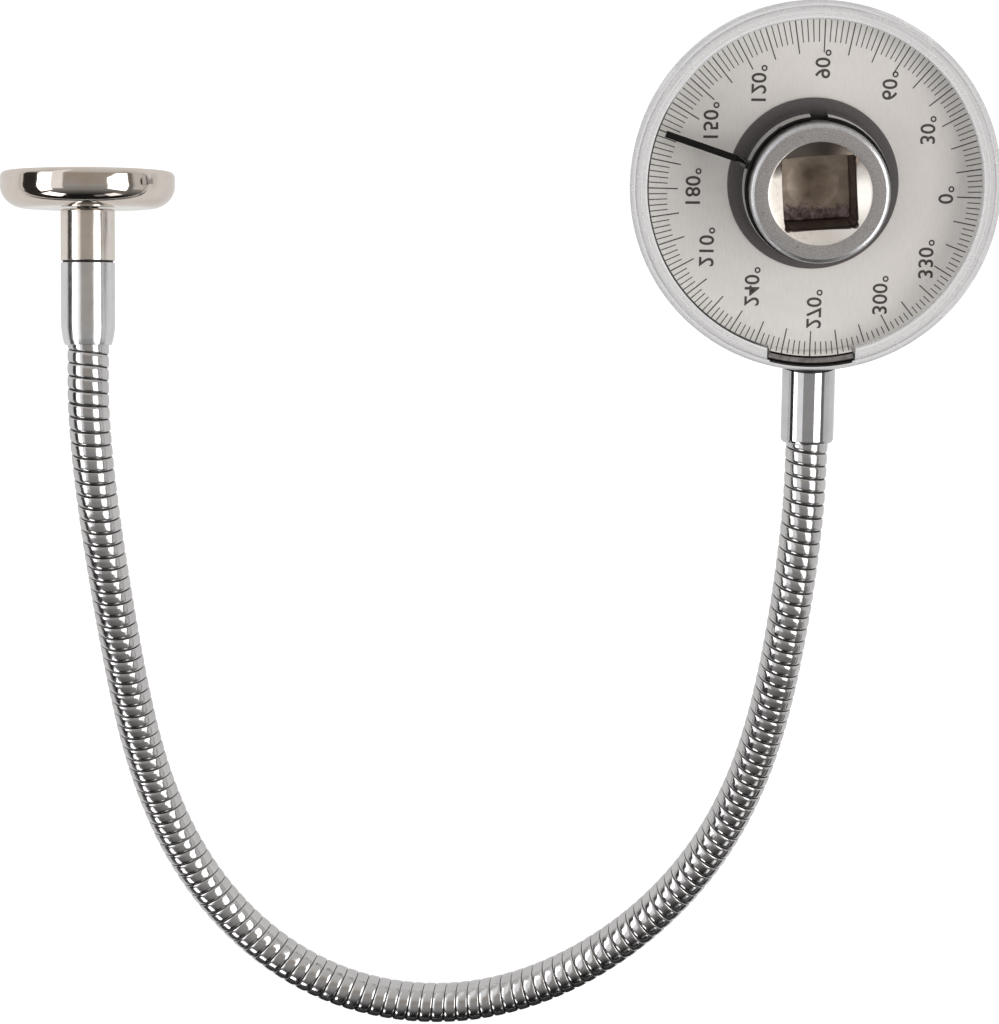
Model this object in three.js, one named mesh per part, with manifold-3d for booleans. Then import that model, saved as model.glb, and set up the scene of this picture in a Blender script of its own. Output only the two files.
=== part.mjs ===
// Torque angle gauge on a flexible arm with a magnet.
// Units are millimetres. Z is the drive axis, pointing up from the male square to the female square.
// The origin is the centre of the male square's end face. The arm leaves the housing towards -Y.
import * as THREE from "three";
import { mergeVertices } from "three/addons/utils/BufferGeometryUtils.js";
import Module from "manifold-3d";

// ---------- driving dimensions ----------
// spindle
const TOP_Z = 46; // upper face, round the female square
const MALE_SQUARE = 12.7;
const MALE_LENGTH = 16;
const MALE_CORNER_R = 8.55; // round that blunts the corners of the male square
const FEMALE_SQUARE = 12.9;
const FEMALE_FLOOR_Z = 29.2;
const FEMALE_EAR_R = 0.75; // relief in the corners of the female square
const MOUTH_R = 9.05; // countersink round the female square
const MOUTH_DEPTH = 1.59; // of the countersink, at a slope of 30 degrees
const HEAD_R = 12.27;
const HEAD_BEVEL = 0.8;
const SHOULDER_Z = 30.1;
const NECK_R = 11;
const NECK_LOW_Z = 18.6;
const POINTER_GROOVE = { r: 11.75, z0: 32.2, z1: 40.3 };
const RING_GROOVE = { r: 10.2, z0: 21.6, z1: 22.7 };
const SQUARE_ANGLE = 4.0; // degrees, the drive square as it stands against the dial

// detent
const DETENT_Z = 8;
const DETENT_BALL_R = 2.5;
const DETENT_BORE_R = 2.65;
const DETENT_PROUD = 0.75;

// pointer
const POINTER_R_IN = 11.87;
const POINTER_R_OUT = 13.5;
const POINTER_R_TOP = 12.88;
const POINTER_Z0 = 32.35;
const POINTER_Z1 = 40.15;
const POINTER_GAP = 3.0;
const POINTER_GAP_ANGLE = 90;
const NEEDLE_ANGLE = 161.5;
const NEEDLE_TIP_R = 27.9;
const NEEDLE_W = 1.2;
const NEEDLE_Z0 = 32.3;
const NEEDLE_T = 0.7;

// housing and dial
const RIM_R = 32.8;
const WALL_IN_R = 31.75;
const HOUSING_Z0 = 26.2;
const FLOOR_Z = 28.6;
const WALL_TOP_Z = 36.1;
const BOSS_R = 16;
const BOSS_Z0 = 24.9;
const HOUSING_BORE_R = 12.75;
const DIAL_R = 31.6;
const DIAL_T = 0.6;
const DIAL_HOLE_R = 12.9;
const BEZEL_LIP_R = 29.45;
const BEZEL_R = 31.65;
const BEZEL_TOP_Z = 36.4;
const BEZEL_LIP_Z = 35.0;
const BEZEL_SKIRT_R = 30.9;
const BUSH = { rIn: 11.1, rOut: 12.65, flange: 14.4, z0: 24.0, z1: 29.15 };
const FRICTION_WASHER = { rIn: 11.2, rOut: 15.25, z0: 29.3, z1: 30.0 };
const LOWER_WASHER = { rIn: 11.15, rOut: 14.4, z0: 23.35, z1: 23.9 };
const WAVE_WASHER = { rIn: 11.15, rOut: 13.6, z0: 22.85, z1: 23.25 };
const RETAINING_RING = { rIn: 10.3, rOut: 13.2, z0: 21.65, z1: 22.65, gap: 5.5 };

// arm at the housing
const ARM_Z = 32;
const BACKING = { rIn: 30.1, rOut: 31.7, z0: 29.3, z1: 36.1, halfWidth: 7.55, edge: 0.3, groove: 0.4 };
const STUD_R = 2;
const STUD_Y0 = -30.25;
const STUD_Y1 = -37.4;
const ARM_WASHER = { r: 4.3, rIn: 2.25, inside: 32.86, outside: 33.08 }; // radii of its curved faces about the dial's axis
const FERRULE = { r: 4.75, y0: -32.2, y1: -46.25, plug: 5.2, bore: 3.95, stud: 2.15, saddle: 33.13 };

// gooseneck
const NECK_TUBE_R = 3.8;
const NECK_TUBE_BORE = 2.1;
const NECK_IN_FERRULE = 7.6; // length hidden in each ferrule
const JOINTS = 9;
const GAPS = [2.3, 1.5, 2.3, 1.5, 2.3, 1.5, 2.3, 1.5, 2.3]; // clearance at each bend: odd ones bend sideways, even ones up and down
// centreline, from the end of the dial ferrule to the start of the magnet ferrule
const ROUTE = [
  [0, -46.5, 32], [-0.25, -57.86, 31.55], [-1.05, -69.29, 30.3], [-2.23, -80.62, 28.41],
  [-3.74, -91.77, 26.08], [-5.78, -102.67, 23.47], [-8.68, -113.26, 20.71], [-12.73, -123.42, 17.87],
  [-18.11, -132.98, 15.04], [-24.82, -141.74, 12.29], [-32.78, -149.5, 9.73], [-41.83, -155.93, 7.5],
  [-51.76, -160.67, 5.74], [-62.34, -163.29, 4.54], [-73.31, -163.45, 3.9], [-84.21, -161.05, 3.83],
  [-94.4, -156.21, 3.86], [-103.31, -149.24, 4.15], [-110.59, -140.61, 5.04], [-116.17, -130.86, 6.58],
  [-120.19, -120.45, 8.65], [-122.96, -109.7, 11.07], [-124.88, -98.8, 13.66], [-126.38, -87.83, 16.25],
  [-127.7, -76.77, 18.71], [-128.92, -65.6, 20.85], [-129.95, -54.32, 22.32], [-130.63, -43.02, 22.58],
  [-130.74, -31.81, 21.04],
];

// magnet end, along its own axis from the gooseneck
const MAGNET_END = [-130.74, -31.81, 21.04];
const MAGNET_DIR = [-0.009, 0.9868, -0.1618];
const MAG_FERRULE = { r: 4.95, rEnd: 4.3, taper: 2.4, length: 15.0 };
const MAG_STEM = { r: 4.95, z0: 15.05, z1: 24.7, groove: 4.6 };
const CUP = { r: 15.875, z0: 24.85, z1: 31.6 };

// ---------- geometry helpers ----------
const wasm = await Module();
wasm.setup();

// a three.js geometry as a solid: shared vertices merged, faces turned outwards
function solid(geometry, matrix) {
  let g = geometry.clone();
  for (const name of Object.keys(g.attributes)) if (name !== "position") g.deleteAttribute(name);
  if (matrix) g.applyMatrix4(matrix);
  g = mergeVertices(g, 1e-4);
  const p = g.attributes.position.array;
  const src = g.index.array;
  const tri = [];
  let volume = 0;
  for (let i = 0; i < src.length; i += 3) {
    const [a, b, c] = [src[i], src[i + 1], src[i + 2]];
    if (a === b || b === c || a === c) continue;
    tri.push(a, b, c);
    const A = a * 3, B = b * 3, C = c * 3;
    volume += p[A] * (p[B + 1] * p[C + 2] - p[B + 2] * p[C + 1])
      - p[A + 1] * (p[B] * p[C + 2] - p[B + 2] * p[C])
      + p[A + 2] * (p[B] * p[C + 1] - p[B + 1] * p[C]);
  }
  if (volume < 0) for (let i = 0; i < tri.length; i += 3) [tri[i + 1], tri[i + 2]] = [tri[i + 2], tri[i + 1]];
  return new wasm.Manifold(new wasm.Mesh({
    numProp: 3,
    vertProperties: new Float32Array(p),
    triVerts: new Uint32Array(tri),
  }));
}

function geometryOf(s) {
  const m = s.getMesh();
  const n = m.numProp;
  const v = new Float32Array((m.vertProperties.length / n) * 3);
  for (let i = 0; i < v.length / 3; i++) v.set(m.vertProperties.subarray(i * n, i * n + 3), i * 3);
  const g = new THREE.BufferGeometry();
  g.setAttribute("position", new THREE.BufferAttribute(v, 3));
  g.setIndex(new THREE.BufferAttribute(new Uint32Array(m.triVerts), 1));
  g.computeVertexNormals();
  return g;
}

const UP = new THREE.Matrix4().makeRotationX(Math.PI / 2); // a lathe's Y axis becomes Z

// a body of revolution about Z from [radius, z] points; a ring's profile is closed on itself
function turned(points, segments = 64) {
  const closed = points.every(([r]) => r > 1e-6);
  const list = points.map(([r, z]) => new THREE.Vector2(r, z));
  if (closed) list.push(list[0].clone());
  return solid(new THREE.LatheGeometry(list, segments), UP);
}

const ring = (rIn, rOut, z0, z1, segments = 64) =>
  turned([[rIn, z0], [rOut, z0], [rOut, z1], [rIn, z1]], segments);

function box(w, d, h, x, y, z, turn = 0) {
  const m = new THREE.Matrix4().makeTranslation(x, y, z);
  const r = new THREE.Matrix4().makeRotationZ(THREE.MathUtils.degToRad(turn));
  return solid(new THREE.BoxGeometry(w, d, h), r.multiply(m));
}

// a cylinder between two points
function rod(a, b, r, segments = 24) {
  const A = new THREE.Vector3(...a), B = new THREE.Vector3(...b);
  const d = B.clone().sub(A);
  const q = new THREE.Quaternion().setFromUnitVectors(new THREE.Vector3(0, 1, 0), d.clone().normalize());
  const m = new THREE.Matrix4().compose(A.add(B).multiplyScalar(0.5), q, new THREE.Vector3(1, 1, 1));
  return solid(new THREE.CylinderGeometry(r, r, d.length(), segments), m);
}

// a turned profile moved so that its axis runs from a point along a direction
function along(origin, direction) {
  const q = new THREE.Quaternion().setFromUnitVectors(new THREE.Vector3(0, 0, 1), new THREE.Vector3(...direction).normalize());
  return new THREE.Matrix4().compose(new THREE.Vector3(...origin), q, new THREE.Vector3(1, 1, 1));
}

const root = new THREE.Group();

function add(name, s, material, parent = root) {
  const mesh = new THREE.Mesh(geometryOf(s), material);
  mesh.name = name;
  parent.add(mesh);
  return mesh;
}

const finish = (color, roughness, metalness) => new THREE.MeshStandardMaterial({ color, roughness, metalness });
const SATIN_STEEL = finish(0x9b9997, 0.4, 1);
const BALL_STEEL = finish(0xc8c8c8, 0.1, 1);
const SPRING_STEEL = finish(0x6f6f70, 0.35, 1);
const BLACK_PLASTIC = finish(0x0c0c0d, 0.25, 0);
const DARK_FIBRE = finish(0x424042, 0.7, 0);
const DIAL_SILVER = finish(0xd5d0cb, 0.5, 0.2);
const CLEAR_PLASTIC = new THREE.MeshStandardMaterial({ color: 0xe9e6e6, roughness: 0.2, metalness: 0, transparent: true, opacity: 0.45 });
const NYLON = finish(0x1b1b1c, 0.6, 0);
const CHROME = finish(0xdcdcde, 0.06, 1);
const NICKEL = finish(0xcfc5b8, 0.08, 1);
const FERRITE = finish(0x2b2a2b, 0.7, 0.1);

// ---------- spindle ----------
const spindle = new THREE.Group();
root.add(spindle);
{
  let body = turned([
    [0, MALE_LENGTH - 1.2], [8.1, MALE_LENGTH - 1.2], [8.9, MALE_LENGTH - 0.2], [9.2, MALE_LENGTH + 0.4],
    [10.7, NECK_LOW_Z - 0.3], [NECK_R, NECK_LOW_Z],
    [NECK_R, RING_GROOVE.z0], [RING_GROOVE.r, RING_GROOVE.z0], [RING_GROOVE.r, RING_GROOVE.z1], [NECK_R, RING_GROOVE.z1],
    [NECK_R, SHOULDER_Z], [HEAD_R - 0.3, SHOULDER_Z], [HEAD_R, SHOULDER_Z + 0.3],
    [HEAD_R, POINTER_GROOVE.z0], [POINTER_GROOVE.r, POINTER_GROOVE.z0], [POINTER_GROOVE.r, POINTER_GROOVE.z1], [HEAD_R, POINTER_GROOVE.z1],
    [HEAD_R, TOP_Z - HEAD_BEVEL], [HEAD_R - 0.25, TOP_Z - 0.22], [HEAD_R - HEAD_BEVEL, TOP_Z], [0, TOP_Z],
  ], 56);
  // male square: a bar whose corners and end are turned down
  const blank = turned([
    [0, 0], [5.6, 0], [6.1, 0.25], [7.4, 1.5], [MALE_CORNER_R, 3.0], [MALE_CORNER_R, MALE_LENGTH + 0.3], [0, MALE_LENGTH + 0.3],
  ], 40);
  body = body.add(box(MALE_SQUARE, MALE_SQUARE, MALE_LENGTH, 0, 0, MALE_LENGTH / 2, SQUARE_ANGLE).intersect(blank));
  // female square with relieved corners and a countersunk mouth
  const depth = TOP_Z - FEMALE_FLOOR_Z;
  body = body.subtract(box(FEMALE_SQUARE, FEMALE_SQUARE, depth + 1, 0, 0, FEMALE_FLOOR_Z + (depth + 1) / 2, SQUARE_ANGLE));
  for (const [sx, sy] of [[1, 1], [1, -1], [-1, 1], [-1, -1]]) {
    const c = new THREE.Vector3(sx * (FEMALE_SQUARE / 2 - 0.35), sy * (FEMALE_SQUARE / 2 - 0.35), 0)
      .applyAxisAngle(new THREE.Vector3(0, 0, 1), THREE.MathUtils.degToRad(SQUARE_ANGLE));
    body = body.subtract(rod([c.x, c.y, FEMALE_FLOOR_Z + 0.6], [c.x, c.y, TOP_Z + 1], FEMALE_EAR_R, 10));
  }
  body = body.subtract(turned([[0, TOP_Z - MOUTH_DEPTH], [6.3, TOP_Z - MOUTH_DEPTH], [MOUTH_R, TOP_Z], [MOUTH_R + 0.1, TOP_Z + 0.06], [0, TOP_Z + 0.06]], 56));
  // drill mark in the floor of the female square
  body = body.subtract(turned([[0, FEMALE_FLOOR_Z - 1.4], [4.6, FEMALE_FLOOR_Z + 0.05], [0, FEMALE_FLOOR_Z + 0.1]], 24));
  // detent bore in the side of the male square
  const dir = new THREE.Vector3(1, 0, 0).applyAxisAngle(new THREE.Vector3(0, 0, 1), THREE.MathUtils.degToRad(SQUARE_ANGLE));
  const at = (x) => [dir.x * x, dir.y * x, DETENT_Z];
  body = body.subtract(rod(at(-2.6), at(8), DETENT_BORE_R, 20));
  add("drive_body", body, SATIN_STEEL, spindle);

  const centre = MALE_SQUARE / 2 + DETENT_PROUD - DETENT_BALL_R;
  const ball = new THREE.SphereGeometry(DETENT_BALL_R, 16, 10);
  add("detent_ball", solid(ball, new THREE.Matrix4().makeTranslation(...at(centre))), BALL_STEEL, spindle);

  // coil spring, standing behind the ball with room for the ball's travel
  class Helix extends THREE.Curve {
    getPoint(t, target = new THREE.Vector3()) {
      const a = t * 4.5 * 2 * Math.PI;
      return target.set(-2.2 + t * 3.0, 1.75 * Math.cos(a), 1.75 * Math.sin(a));
    }
  }
  const wire = new THREE.Shape().absarc(0, 0, 0.24, 0, 2 * Math.PI);
  const coil = new THREE.ExtrudeGeometry(wire, { extrudePath: new Helix(), steps: 45, curveSegments: 3 });
  add("detent_spring", solid(coil, new THREE.Matrix4().makeRotationZ(THREE.MathUtils.degToRad(SQUARE_ANGLE))
    .premultiply(new THREE.Matrix4().makeTranslation(0, 0, DETENT_Z))), SPRING_STEEL, spindle);
}

// ---------- pointer ----------
{
  let hub = turned([
    [POINTER_R_IN, POINTER_Z0], [POINTER_R_OUT, POINTER_Z0], [POINTER_R_TOP, POINTER_Z1 - 0.15],
    [POINTER_R_TOP - 0.15, POINTER_Z1], [POINTER_R_IN, POINTER_Z1],
  ], 56);
  hub = hub.subtract(box(6, POINTER_GAP, 12, 13, 0, 36, POINTER_GAP_ANGLE));
  // needle: a flat strip, joined to the ring by a short rib that stands up its wall
  hub = hub.add(box(NEEDLE_TIP_R - 12.6, NEEDLE_W, NEEDLE_T, (NEEDLE_TIP_R + 12.6) / 2, 0, NEEDLE_Z0 + NEEDLE_T / 2, NEEDLE_ANGLE));
  const rib = new THREE.Shape([[12.5, 0], [14.9, 0], [14.0, 3.4], [13.4, 7.6], [12.5, 7.6]].map(([x, y]) => new THREE.Vector2(x, y)));
  const ribSolid = new THREE.ExtrudeGeometry(rib, { depth: NEEDLE_W, bevelEnabled: false });
  const stand = new THREE.Matrix4().makeRotationZ(THREE.MathUtils.degToRad(NEEDLE_ANGLE))
    .multiply(new THREE.Matrix4().makeTranslation(0, NEEDLE_W / 2, NEEDLE_Z0))
    .multiply(new THREE.Matrix4().makeRotationX(Math.PI / 2));
  hub = hub.add(solid(ribSolid, stand));
  add("pointer", hub, BLACK_PLASTIC, spindle);
}

// ---------- housing and dial ----------
const dial = new THREE.Group();
root.add(dial);
{
  let cup = turned([
    [HOUSING_BORE_R, BOSS_Z0], [BOSS_R, BOSS_Z0], [BOSS_R + 0.4, HOUSING_Z0], [RIM_R - 1.0, HOUSING_Z0], [RIM_R - 0.25, HOUSING_Z0 + 0.75],
    [RIM_R, HOUSING_Z0 + 2.5], [RIM_R, WALL_TOP_Z - 0.5], [RIM_R - 0.35, WALL_TOP_Z], [WALL_IN_R, WALL_TOP_Z], [WALL_IN_R, FLOOR_Z],
    [HOUSING_BORE_R, FLOOR_Z],
  ], 64);
  cup = cup.subtract(rod([0, -30, ARM_Z], [0, -36, ARM_Z], STUD_R + 0.2, 24));
  add("housing", cup, CLEAR_PLASTIC, dial);

  add("dial_plate", ring(DIAL_HOLE_R, DIAL_R, FLOOR_Z + 0.05, FLOOR_Z + 0.05 + DIAL_T, 64), DIAL_SILVER, dial);

  let bezel = turned([
    [BEZEL_LIP_R, BEZEL_LIP_Z], [BEZEL_SKIRT_R, BEZEL_LIP_Z], [BEZEL_SKIRT_R, FLOOR_Z + DIAL_T + 0.1], [BEZEL_R, FLOOR_Z + DIAL_T + 0.1],
    [BEZEL_R, BEZEL_TOP_Z - 0.3], [BEZEL_R - 0.3, BEZEL_TOP_Z], [BEZEL_LIP_R + 0.3, BEZEL_TOP_Z], [BEZEL_LIP_R, BEZEL_TOP_Z - 0.3],
  ], 64);
  // open where the backing plate of the arm stands
  bezel = bezel.subtract(box(2 * BACKING.halfWidth + 0.6, 7, 12, 0, -30.5, 34));
  add("bezel_ring", bezel, CLEAR_PLASTIC, dial);

  add("bearing_bush", turned([
    [BUSH.rIn, BUSH.z0], [BUSH.flange, BUSH.z0], [BUSH.flange, BOSS_Z0 - 0.05], [BUSH.rOut, BOSS_Z0 - 0.05], [BUSH.rOut, BUSH.z1], [BUSH.rIn, BUSH.z1],
  ], 48), NYLON, dial);
  add("friction_washer", ring(FRICTION_WASHER.rIn, FRICTION_WASHER.rOut, FRICTION_WASHER.z0, FRICTION_WASHER.z1, 56), DARK_FIBRE, dial);
  add("lower_washer", ring(LOWER_WASHER.rIn, LOWER_WASHER.rOut, LOWER_WASHER.z0, LOWER_WASHER.z1, 48), SPRING_STEEL, dial);
}

// wave washer: a thin ring whose height runs in three waves
{
  const { rIn, rOut, z0, z1 } = WAVE_WASHER;
  const flat = new THREE.LatheGeometry([[rIn, -0.1], [rOut, -0.1], [rOut, 0.1], [rIn, 0.1], [rIn, -0.1]].map(([r, z]) => new THREE.Vector2(r, z)), 48);
  flat.applyMatrix4(UP);
  const p = flat.attributes.position;
  for (let i = 0; i < p.count; i++) {
    const a = Math.atan2(p.getY(i), p.getX(i));
    p.setZ(i, p.getZ(i) + (z0 + z1) / 2 + ((z1 - z0) / 2 - 0.1) * Math.cos(3 * a));
  }
  add("wave_washer", solid(flat), SPRING_STEEL, dial);
}

// retaining ring: open, in the spindle's lower groove
{
  const { rIn, rOut, z0, z1, gap } = RETAINING_RING;
  const open = ring(rIn, rOut, z0, z1, 48).subtract(box(8, gap, 4, 12, 0, (z0 + z1) / 2, SQUARE_ANGLE + 45));
  add("retaining_ring", open, SPRING_STEEL, spindle);
}

// ---------- arm at the housing ----------
{
  const half = Math.asin(BACKING.halfWidth / ((BACKING.rIn + BACKING.rOut) / 2));
  const shape = new THREE.Shape();
  shape.absarc(0, 0, BACKING.rOut, -Math.PI / 2 - half, -Math.PI / 2 + half, false);
  shape.absarc(0, 0, BACKING.rIn, -Math.PI / 2 + half, -Math.PI / 2 - half, true);
  const plate = new THREE.ExtrudeGeometry(shape, { depth: BACKING.z1 - BACKING.z0, bevelEnabled: false, curveSegments: 12 });
  let backing = solid(plate, new THREE.Matrix4().makeTranslation(0, 0, BACKING.z0));
  backing = backing.subtract(rod([0, -29, ARM_Z], [0, -33, ARM_Z], STUD_R + 0.1, 20));
  // a shallow groove along its top edge
  backing = backing.subtract(ring(BACKING.rIn + BACKING.edge, BACKING.rOut - BACKING.edge, BACKING.z1 - BACKING.groove, BACKING.z1 + 1, 128));
  add("arm_backing_plate", backing, SPRING_STEEL, dial);

  add("arm_stud", rod([0, STUD_Y0, ARM_Z], [0, STUD_Y1, ARM_Z], STUD_R, 20), SPRING_STEEL, dial);

  // thin washer, curved to sit on the round wall
  const { r, rIn, inside, outside } = ARM_WASHER;
  const saddle = rod([0, -31.5, ARM_Z], [0, -34.5, ARM_Z], r, 32).subtract(rod([0, -31, ARM_Z], [0, -35, ARM_Z], rIn, 24));
  add("arm_washer", saddle.intersect(ring(inside, outside, 20, 44, 160)), NYLON, dial);

  const f = FERRULE, len = f.y0 - f.y1;
  const sleeve = new THREE.LatheGeometry([
    [f.stud, 0], [f.r, 0], [f.r, len - 0.7], [f.r - 0.15, len - 0.35], [f.bore + 0.2, len], [f.bore, len], [f.bore, f.plug], [f.stud, f.plug], [f.stud, 0],
  ].map(([a, b]) => new THREE.Vector2(a, b)), 36);
  const place = new THREE.Matrix4().makeTranslation(0, f.y0, ARM_Z).multiply(new THREE.Matrix4().makeRotationX(Math.PI));
  // its end is hollowed to follow the round wall
  add("dial_ferrule", solid(sleeve, place).subtract(turned([[0, 20], [f.saddle, 20], [f.saddle, 44], [0, 44]], 160)), CHROME, dial);
}

// ---------- gooseneck ----------
const centreline = new THREE.CatmullRomCurve3(ROUTE.map((p) => new THREE.Vector3(...p)), false, "catmullrom", 0.5);
centreline.arcLengthDivisions = 1200;
const LENGTH = centreline.getLength();
const DIR0 = new THREE.Vector3(0, -1, 0);
const DIR1 = new THREE.Vector3(...MAGNET_DIR).normalize();

// the centreline by arc length, carried on straight into the ferrules
function pointAt(s) {
  if (s < 0) return new THREE.Vector3(...ROUTE[0]).addScaledVector(DIR0, s);
  if (s > LENGTH) return new THREE.Vector3(...ROUTE[ROUTE.length - 1]).addScaledVector(DIR1, s - LENGTH);
  return centreline.getPointAt(s / LENGTH);
}

class Stretch extends THREE.Curve {
  constructor(s0, s1) {
    super();
    this.s0 = s0;
    this.s1 = s1;
  }
  getPoint(t, target = new THREE.Vector3()) {
    return target.copy(pointAt(this.s0 + (this.s1 - this.s0) * t));
  }
}

const neck = new THREE.Group();
root.add(neck);
{
  const section = new THREE.Shape().absarc(0, 0, NECK_TUBE_R, 0, 2 * Math.PI);
  section.holes.push(new THREE.Path().absarc(0, 0, NECK_TUBE_BORE, 0, 2 * Math.PI, true));
  const bends = [...Array(JOINTS).keys()].map((k) => ((k + 0.5) * LENGTH) / JOINTS);
  for (let k = 0; k <= JOINTS; k++) {
    const s0 = k === 0 ? -NECK_IN_FERRULE : bends[k - 1] + GAPS[k - 1] / 2;
    const s1 = k === JOINTS ? LENGTH + NECK_IN_FERRULE : bends[k] - GAPS[k] / 2;
    const tube = new THREE.ExtrudeGeometry(section, {
      extrudePath: new Stretch(s0, s1),
      steps: Math.max(3, Math.round((s1 - s0) / 5)),
      curveSegments: 6,
    });
    add("gooseneck_" + String(k + 1).padStart(2, "0"), solid(tube), CHROME, neck);
  }
}

// ---------- magnet end ----------
const magnetEnd = new THREE.Group();
magnetEnd.applyMatrix4(along(MAGNET_END, MAGNET_DIR));
root.add(magnetEnd);
{
  const f = MAG_FERRULE;
  add("magnet_ferrule", turned([
    [3.95, 0], [f.rEnd, 0], [f.r - 0.12, f.taper], [f.r, f.taper + 0.8], [f.r, f.length - 0.15], [f.r - 0.15, f.length], [3.25, f.length],
    [3.25, 9.5], [3.95, 9.5],
  ], 36), CHROME, magnetEnd);
  const s = MAG_STEM;
  add("magnet_stem", turned([
    [0, 10.6], [3.1, 10.6], [3.1, s.z0], [s.groove, s.z0], [s.groove, s.z0 + 0.35], [s.r, s.z0 + 0.42], [s.r, s.z1], [2.2, s.z1], [2.2, s.z1 - 8.2], [0, s.z1 - 8.2],
  ], 36), NICKEL, magnetEnd);
  const c = CUP;
  add("magnet_cup", turned([
    [2.3, c.z0], [11.4, c.z0], [13.1, c.z0 + 0.32], [14.55, c.z0 + 1.22], [15.5, c.z0 + 2.55], [c.r, c.z0 + 4.2], [c.r - 0.01, c.z1 - 0.9],
    [c.r - 0.2, c.z1], [14.4, c.z1], [14.2, c.z1 - 0.2], [14.2, c.z0 + 3.9], [13.0, c.z0 + 2.0], [2.3, c.z0 + 2.0],
  ], 48), NICKEL, magnetEnd);
  add("magnet_ring", turned([
    [4.2, c.z0 + 2.15], [12.9, c.z0 + 2.15], [14.05, c.z0 + 4.0], [14.05, c.z1 - 0.25], [4.2, c.z1 - 0.25],
  ], 48), FERRITE, magnetEnd);
  add("magnet_screw", turned([
    [0, s.z1 - 7.6], [1.95, s.z1 - 7.6], [1.95, c.z0 + 2.1], [3.7, c.z0 + 2.1], [3.9, c.z0 + 2.3], [3.9, c.z0 + 3.3], [3.2, c.z0 + 4.1], [0, c.z0 + 4.3],
  ], 24).subtract(solid(new THREE.CylinderGeometry(1.5, 1.5, 3, 6), new THREE.Matrix4().makeTranslation(0, 0, c.z0 + 4.3).multiply(UP))), SPRING_STEEL, magnetEnd);
}

export default root;
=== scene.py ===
import math

import bmesh
import bpy
import numpy as np
from mathutils import Matrix, Vector


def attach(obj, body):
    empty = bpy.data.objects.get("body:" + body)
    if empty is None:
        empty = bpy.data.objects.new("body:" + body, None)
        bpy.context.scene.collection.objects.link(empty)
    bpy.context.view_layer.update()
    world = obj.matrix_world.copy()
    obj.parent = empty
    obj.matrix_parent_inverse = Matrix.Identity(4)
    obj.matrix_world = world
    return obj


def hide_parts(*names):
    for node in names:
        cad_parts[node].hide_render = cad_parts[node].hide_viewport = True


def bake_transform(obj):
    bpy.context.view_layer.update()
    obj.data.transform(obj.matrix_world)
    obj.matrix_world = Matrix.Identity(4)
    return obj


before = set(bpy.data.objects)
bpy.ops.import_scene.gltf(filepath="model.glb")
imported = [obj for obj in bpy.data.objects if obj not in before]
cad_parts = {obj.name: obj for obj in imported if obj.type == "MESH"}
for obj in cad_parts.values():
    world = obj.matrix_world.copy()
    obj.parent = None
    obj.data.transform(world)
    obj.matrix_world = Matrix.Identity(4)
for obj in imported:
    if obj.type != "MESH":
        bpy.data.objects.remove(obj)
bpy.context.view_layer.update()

MM = 0.001

# ---------- sizes shared with the solids, in millimetres ----------
TOP_Z = 46.0
FEMALE_HALF = 6.45
FEMALE_FLOOR_Z = 29.2
EAR_R = 0.7
MOUTH_R = 9.05
MOUTH_DEPTH = 1.59
HEAD_R = 12.27
NECK_R = 11.0
MALE_HALF = 6.35
MALE_CORNER_R = 8.55
SQUARE_ANGLE = math.radians(4.0)
DIAL_Z = 29.25
LIP_R = 29.45
RIM_R = 32.8
ARM_Z = 32.0
ROUTE = [
    [0, -46.5, 32], [-0.25, -57.86, 31.55], [-1.05, -69.29, 30.3], [-2.23, -80.62, 28.41],
    [-3.74, -91.77, 26.08], [-5.78, -102.67, 23.47], [-8.68, -113.26, 20.71], [-12.73, -123.42, 17.87],
    [-18.11, -132.98, 15.04], [-24.82, -141.74, 12.29], [-32.78, -149.5, 9.73], [-41.83, -155.93, 7.5],
    [-51.76, -160.67, 5.74], [-62.34, -163.29, 4.54], [-73.31, -163.45, 3.9], [-84.21, -161.05, 3.83],
    [-94.4, -156.21, 3.86], [-103.31, -149.24, 4.15], [-110.59, -140.61, 5.04], [-116.17, -130.86, 6.58],
    [-120.19, -120.45, 8.65], [-122.96, -109.7, 11.07], [-124.88, -98.8, 13.66], [-126.38, -87.83, 16.25],
    [-127.7, -76.77, 18.71], [-128.92, -65.6, 20.85], [-129.95, -54.32, 22.32], [-130.63, -43.02, 22.58],
    [-130.74, -31.81, 21.04],
]
MAGNET_END = np.array([-130.74, -31.81, 21.04])
MAGNET_DIR = np.array([-0.009, 0.9868, -0.1618])
MAGNET_DIR = MAGNET_DIR / np.linalg.norm(MAGNET_DIR)
HOSE_R = 3.8
HOSE_HIDDEN = 7.0
HOSE_TURNS = 134.0


# ---------- mesh helpers ----------
def make_mesh(name, verts_mm, faces, sharp_deg=32.0):
    """A mesh object in metres, smooth except over edges sharper than sharp_deg."""
    mesh = bpy.data.meshes.new(name)
    mesh.from_pydata((np.asarray(verts_mm, float) * MM).tolist(), [], [list(f) for f in faces])
    mesh.update()
    finish_mesh(mesh, sharp_deg)
    obj = bpy.data.objects.new(name, mesh)
    bpy.context.scene.collection.objects.link(obj)
    return obj


def finish_mesh(mesh, sharp_deg=32.0):
    bm = bmesh.new()
    bm.from_mesh(mesh)
    bmesh.ops.recalc_face_normals(bm, faces=bm.faces)
    limit = math.radians(sharp_deg)
    for f in bm.faces:
        f.smooth = True
    for e in bm.edges:
        e.smooth = len(e.link_faces) == 2 and e.calc_face_angle(0.0) < limit
    bm.to_mesh(mesh)
    bm.free()
    mesh.update()


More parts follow.
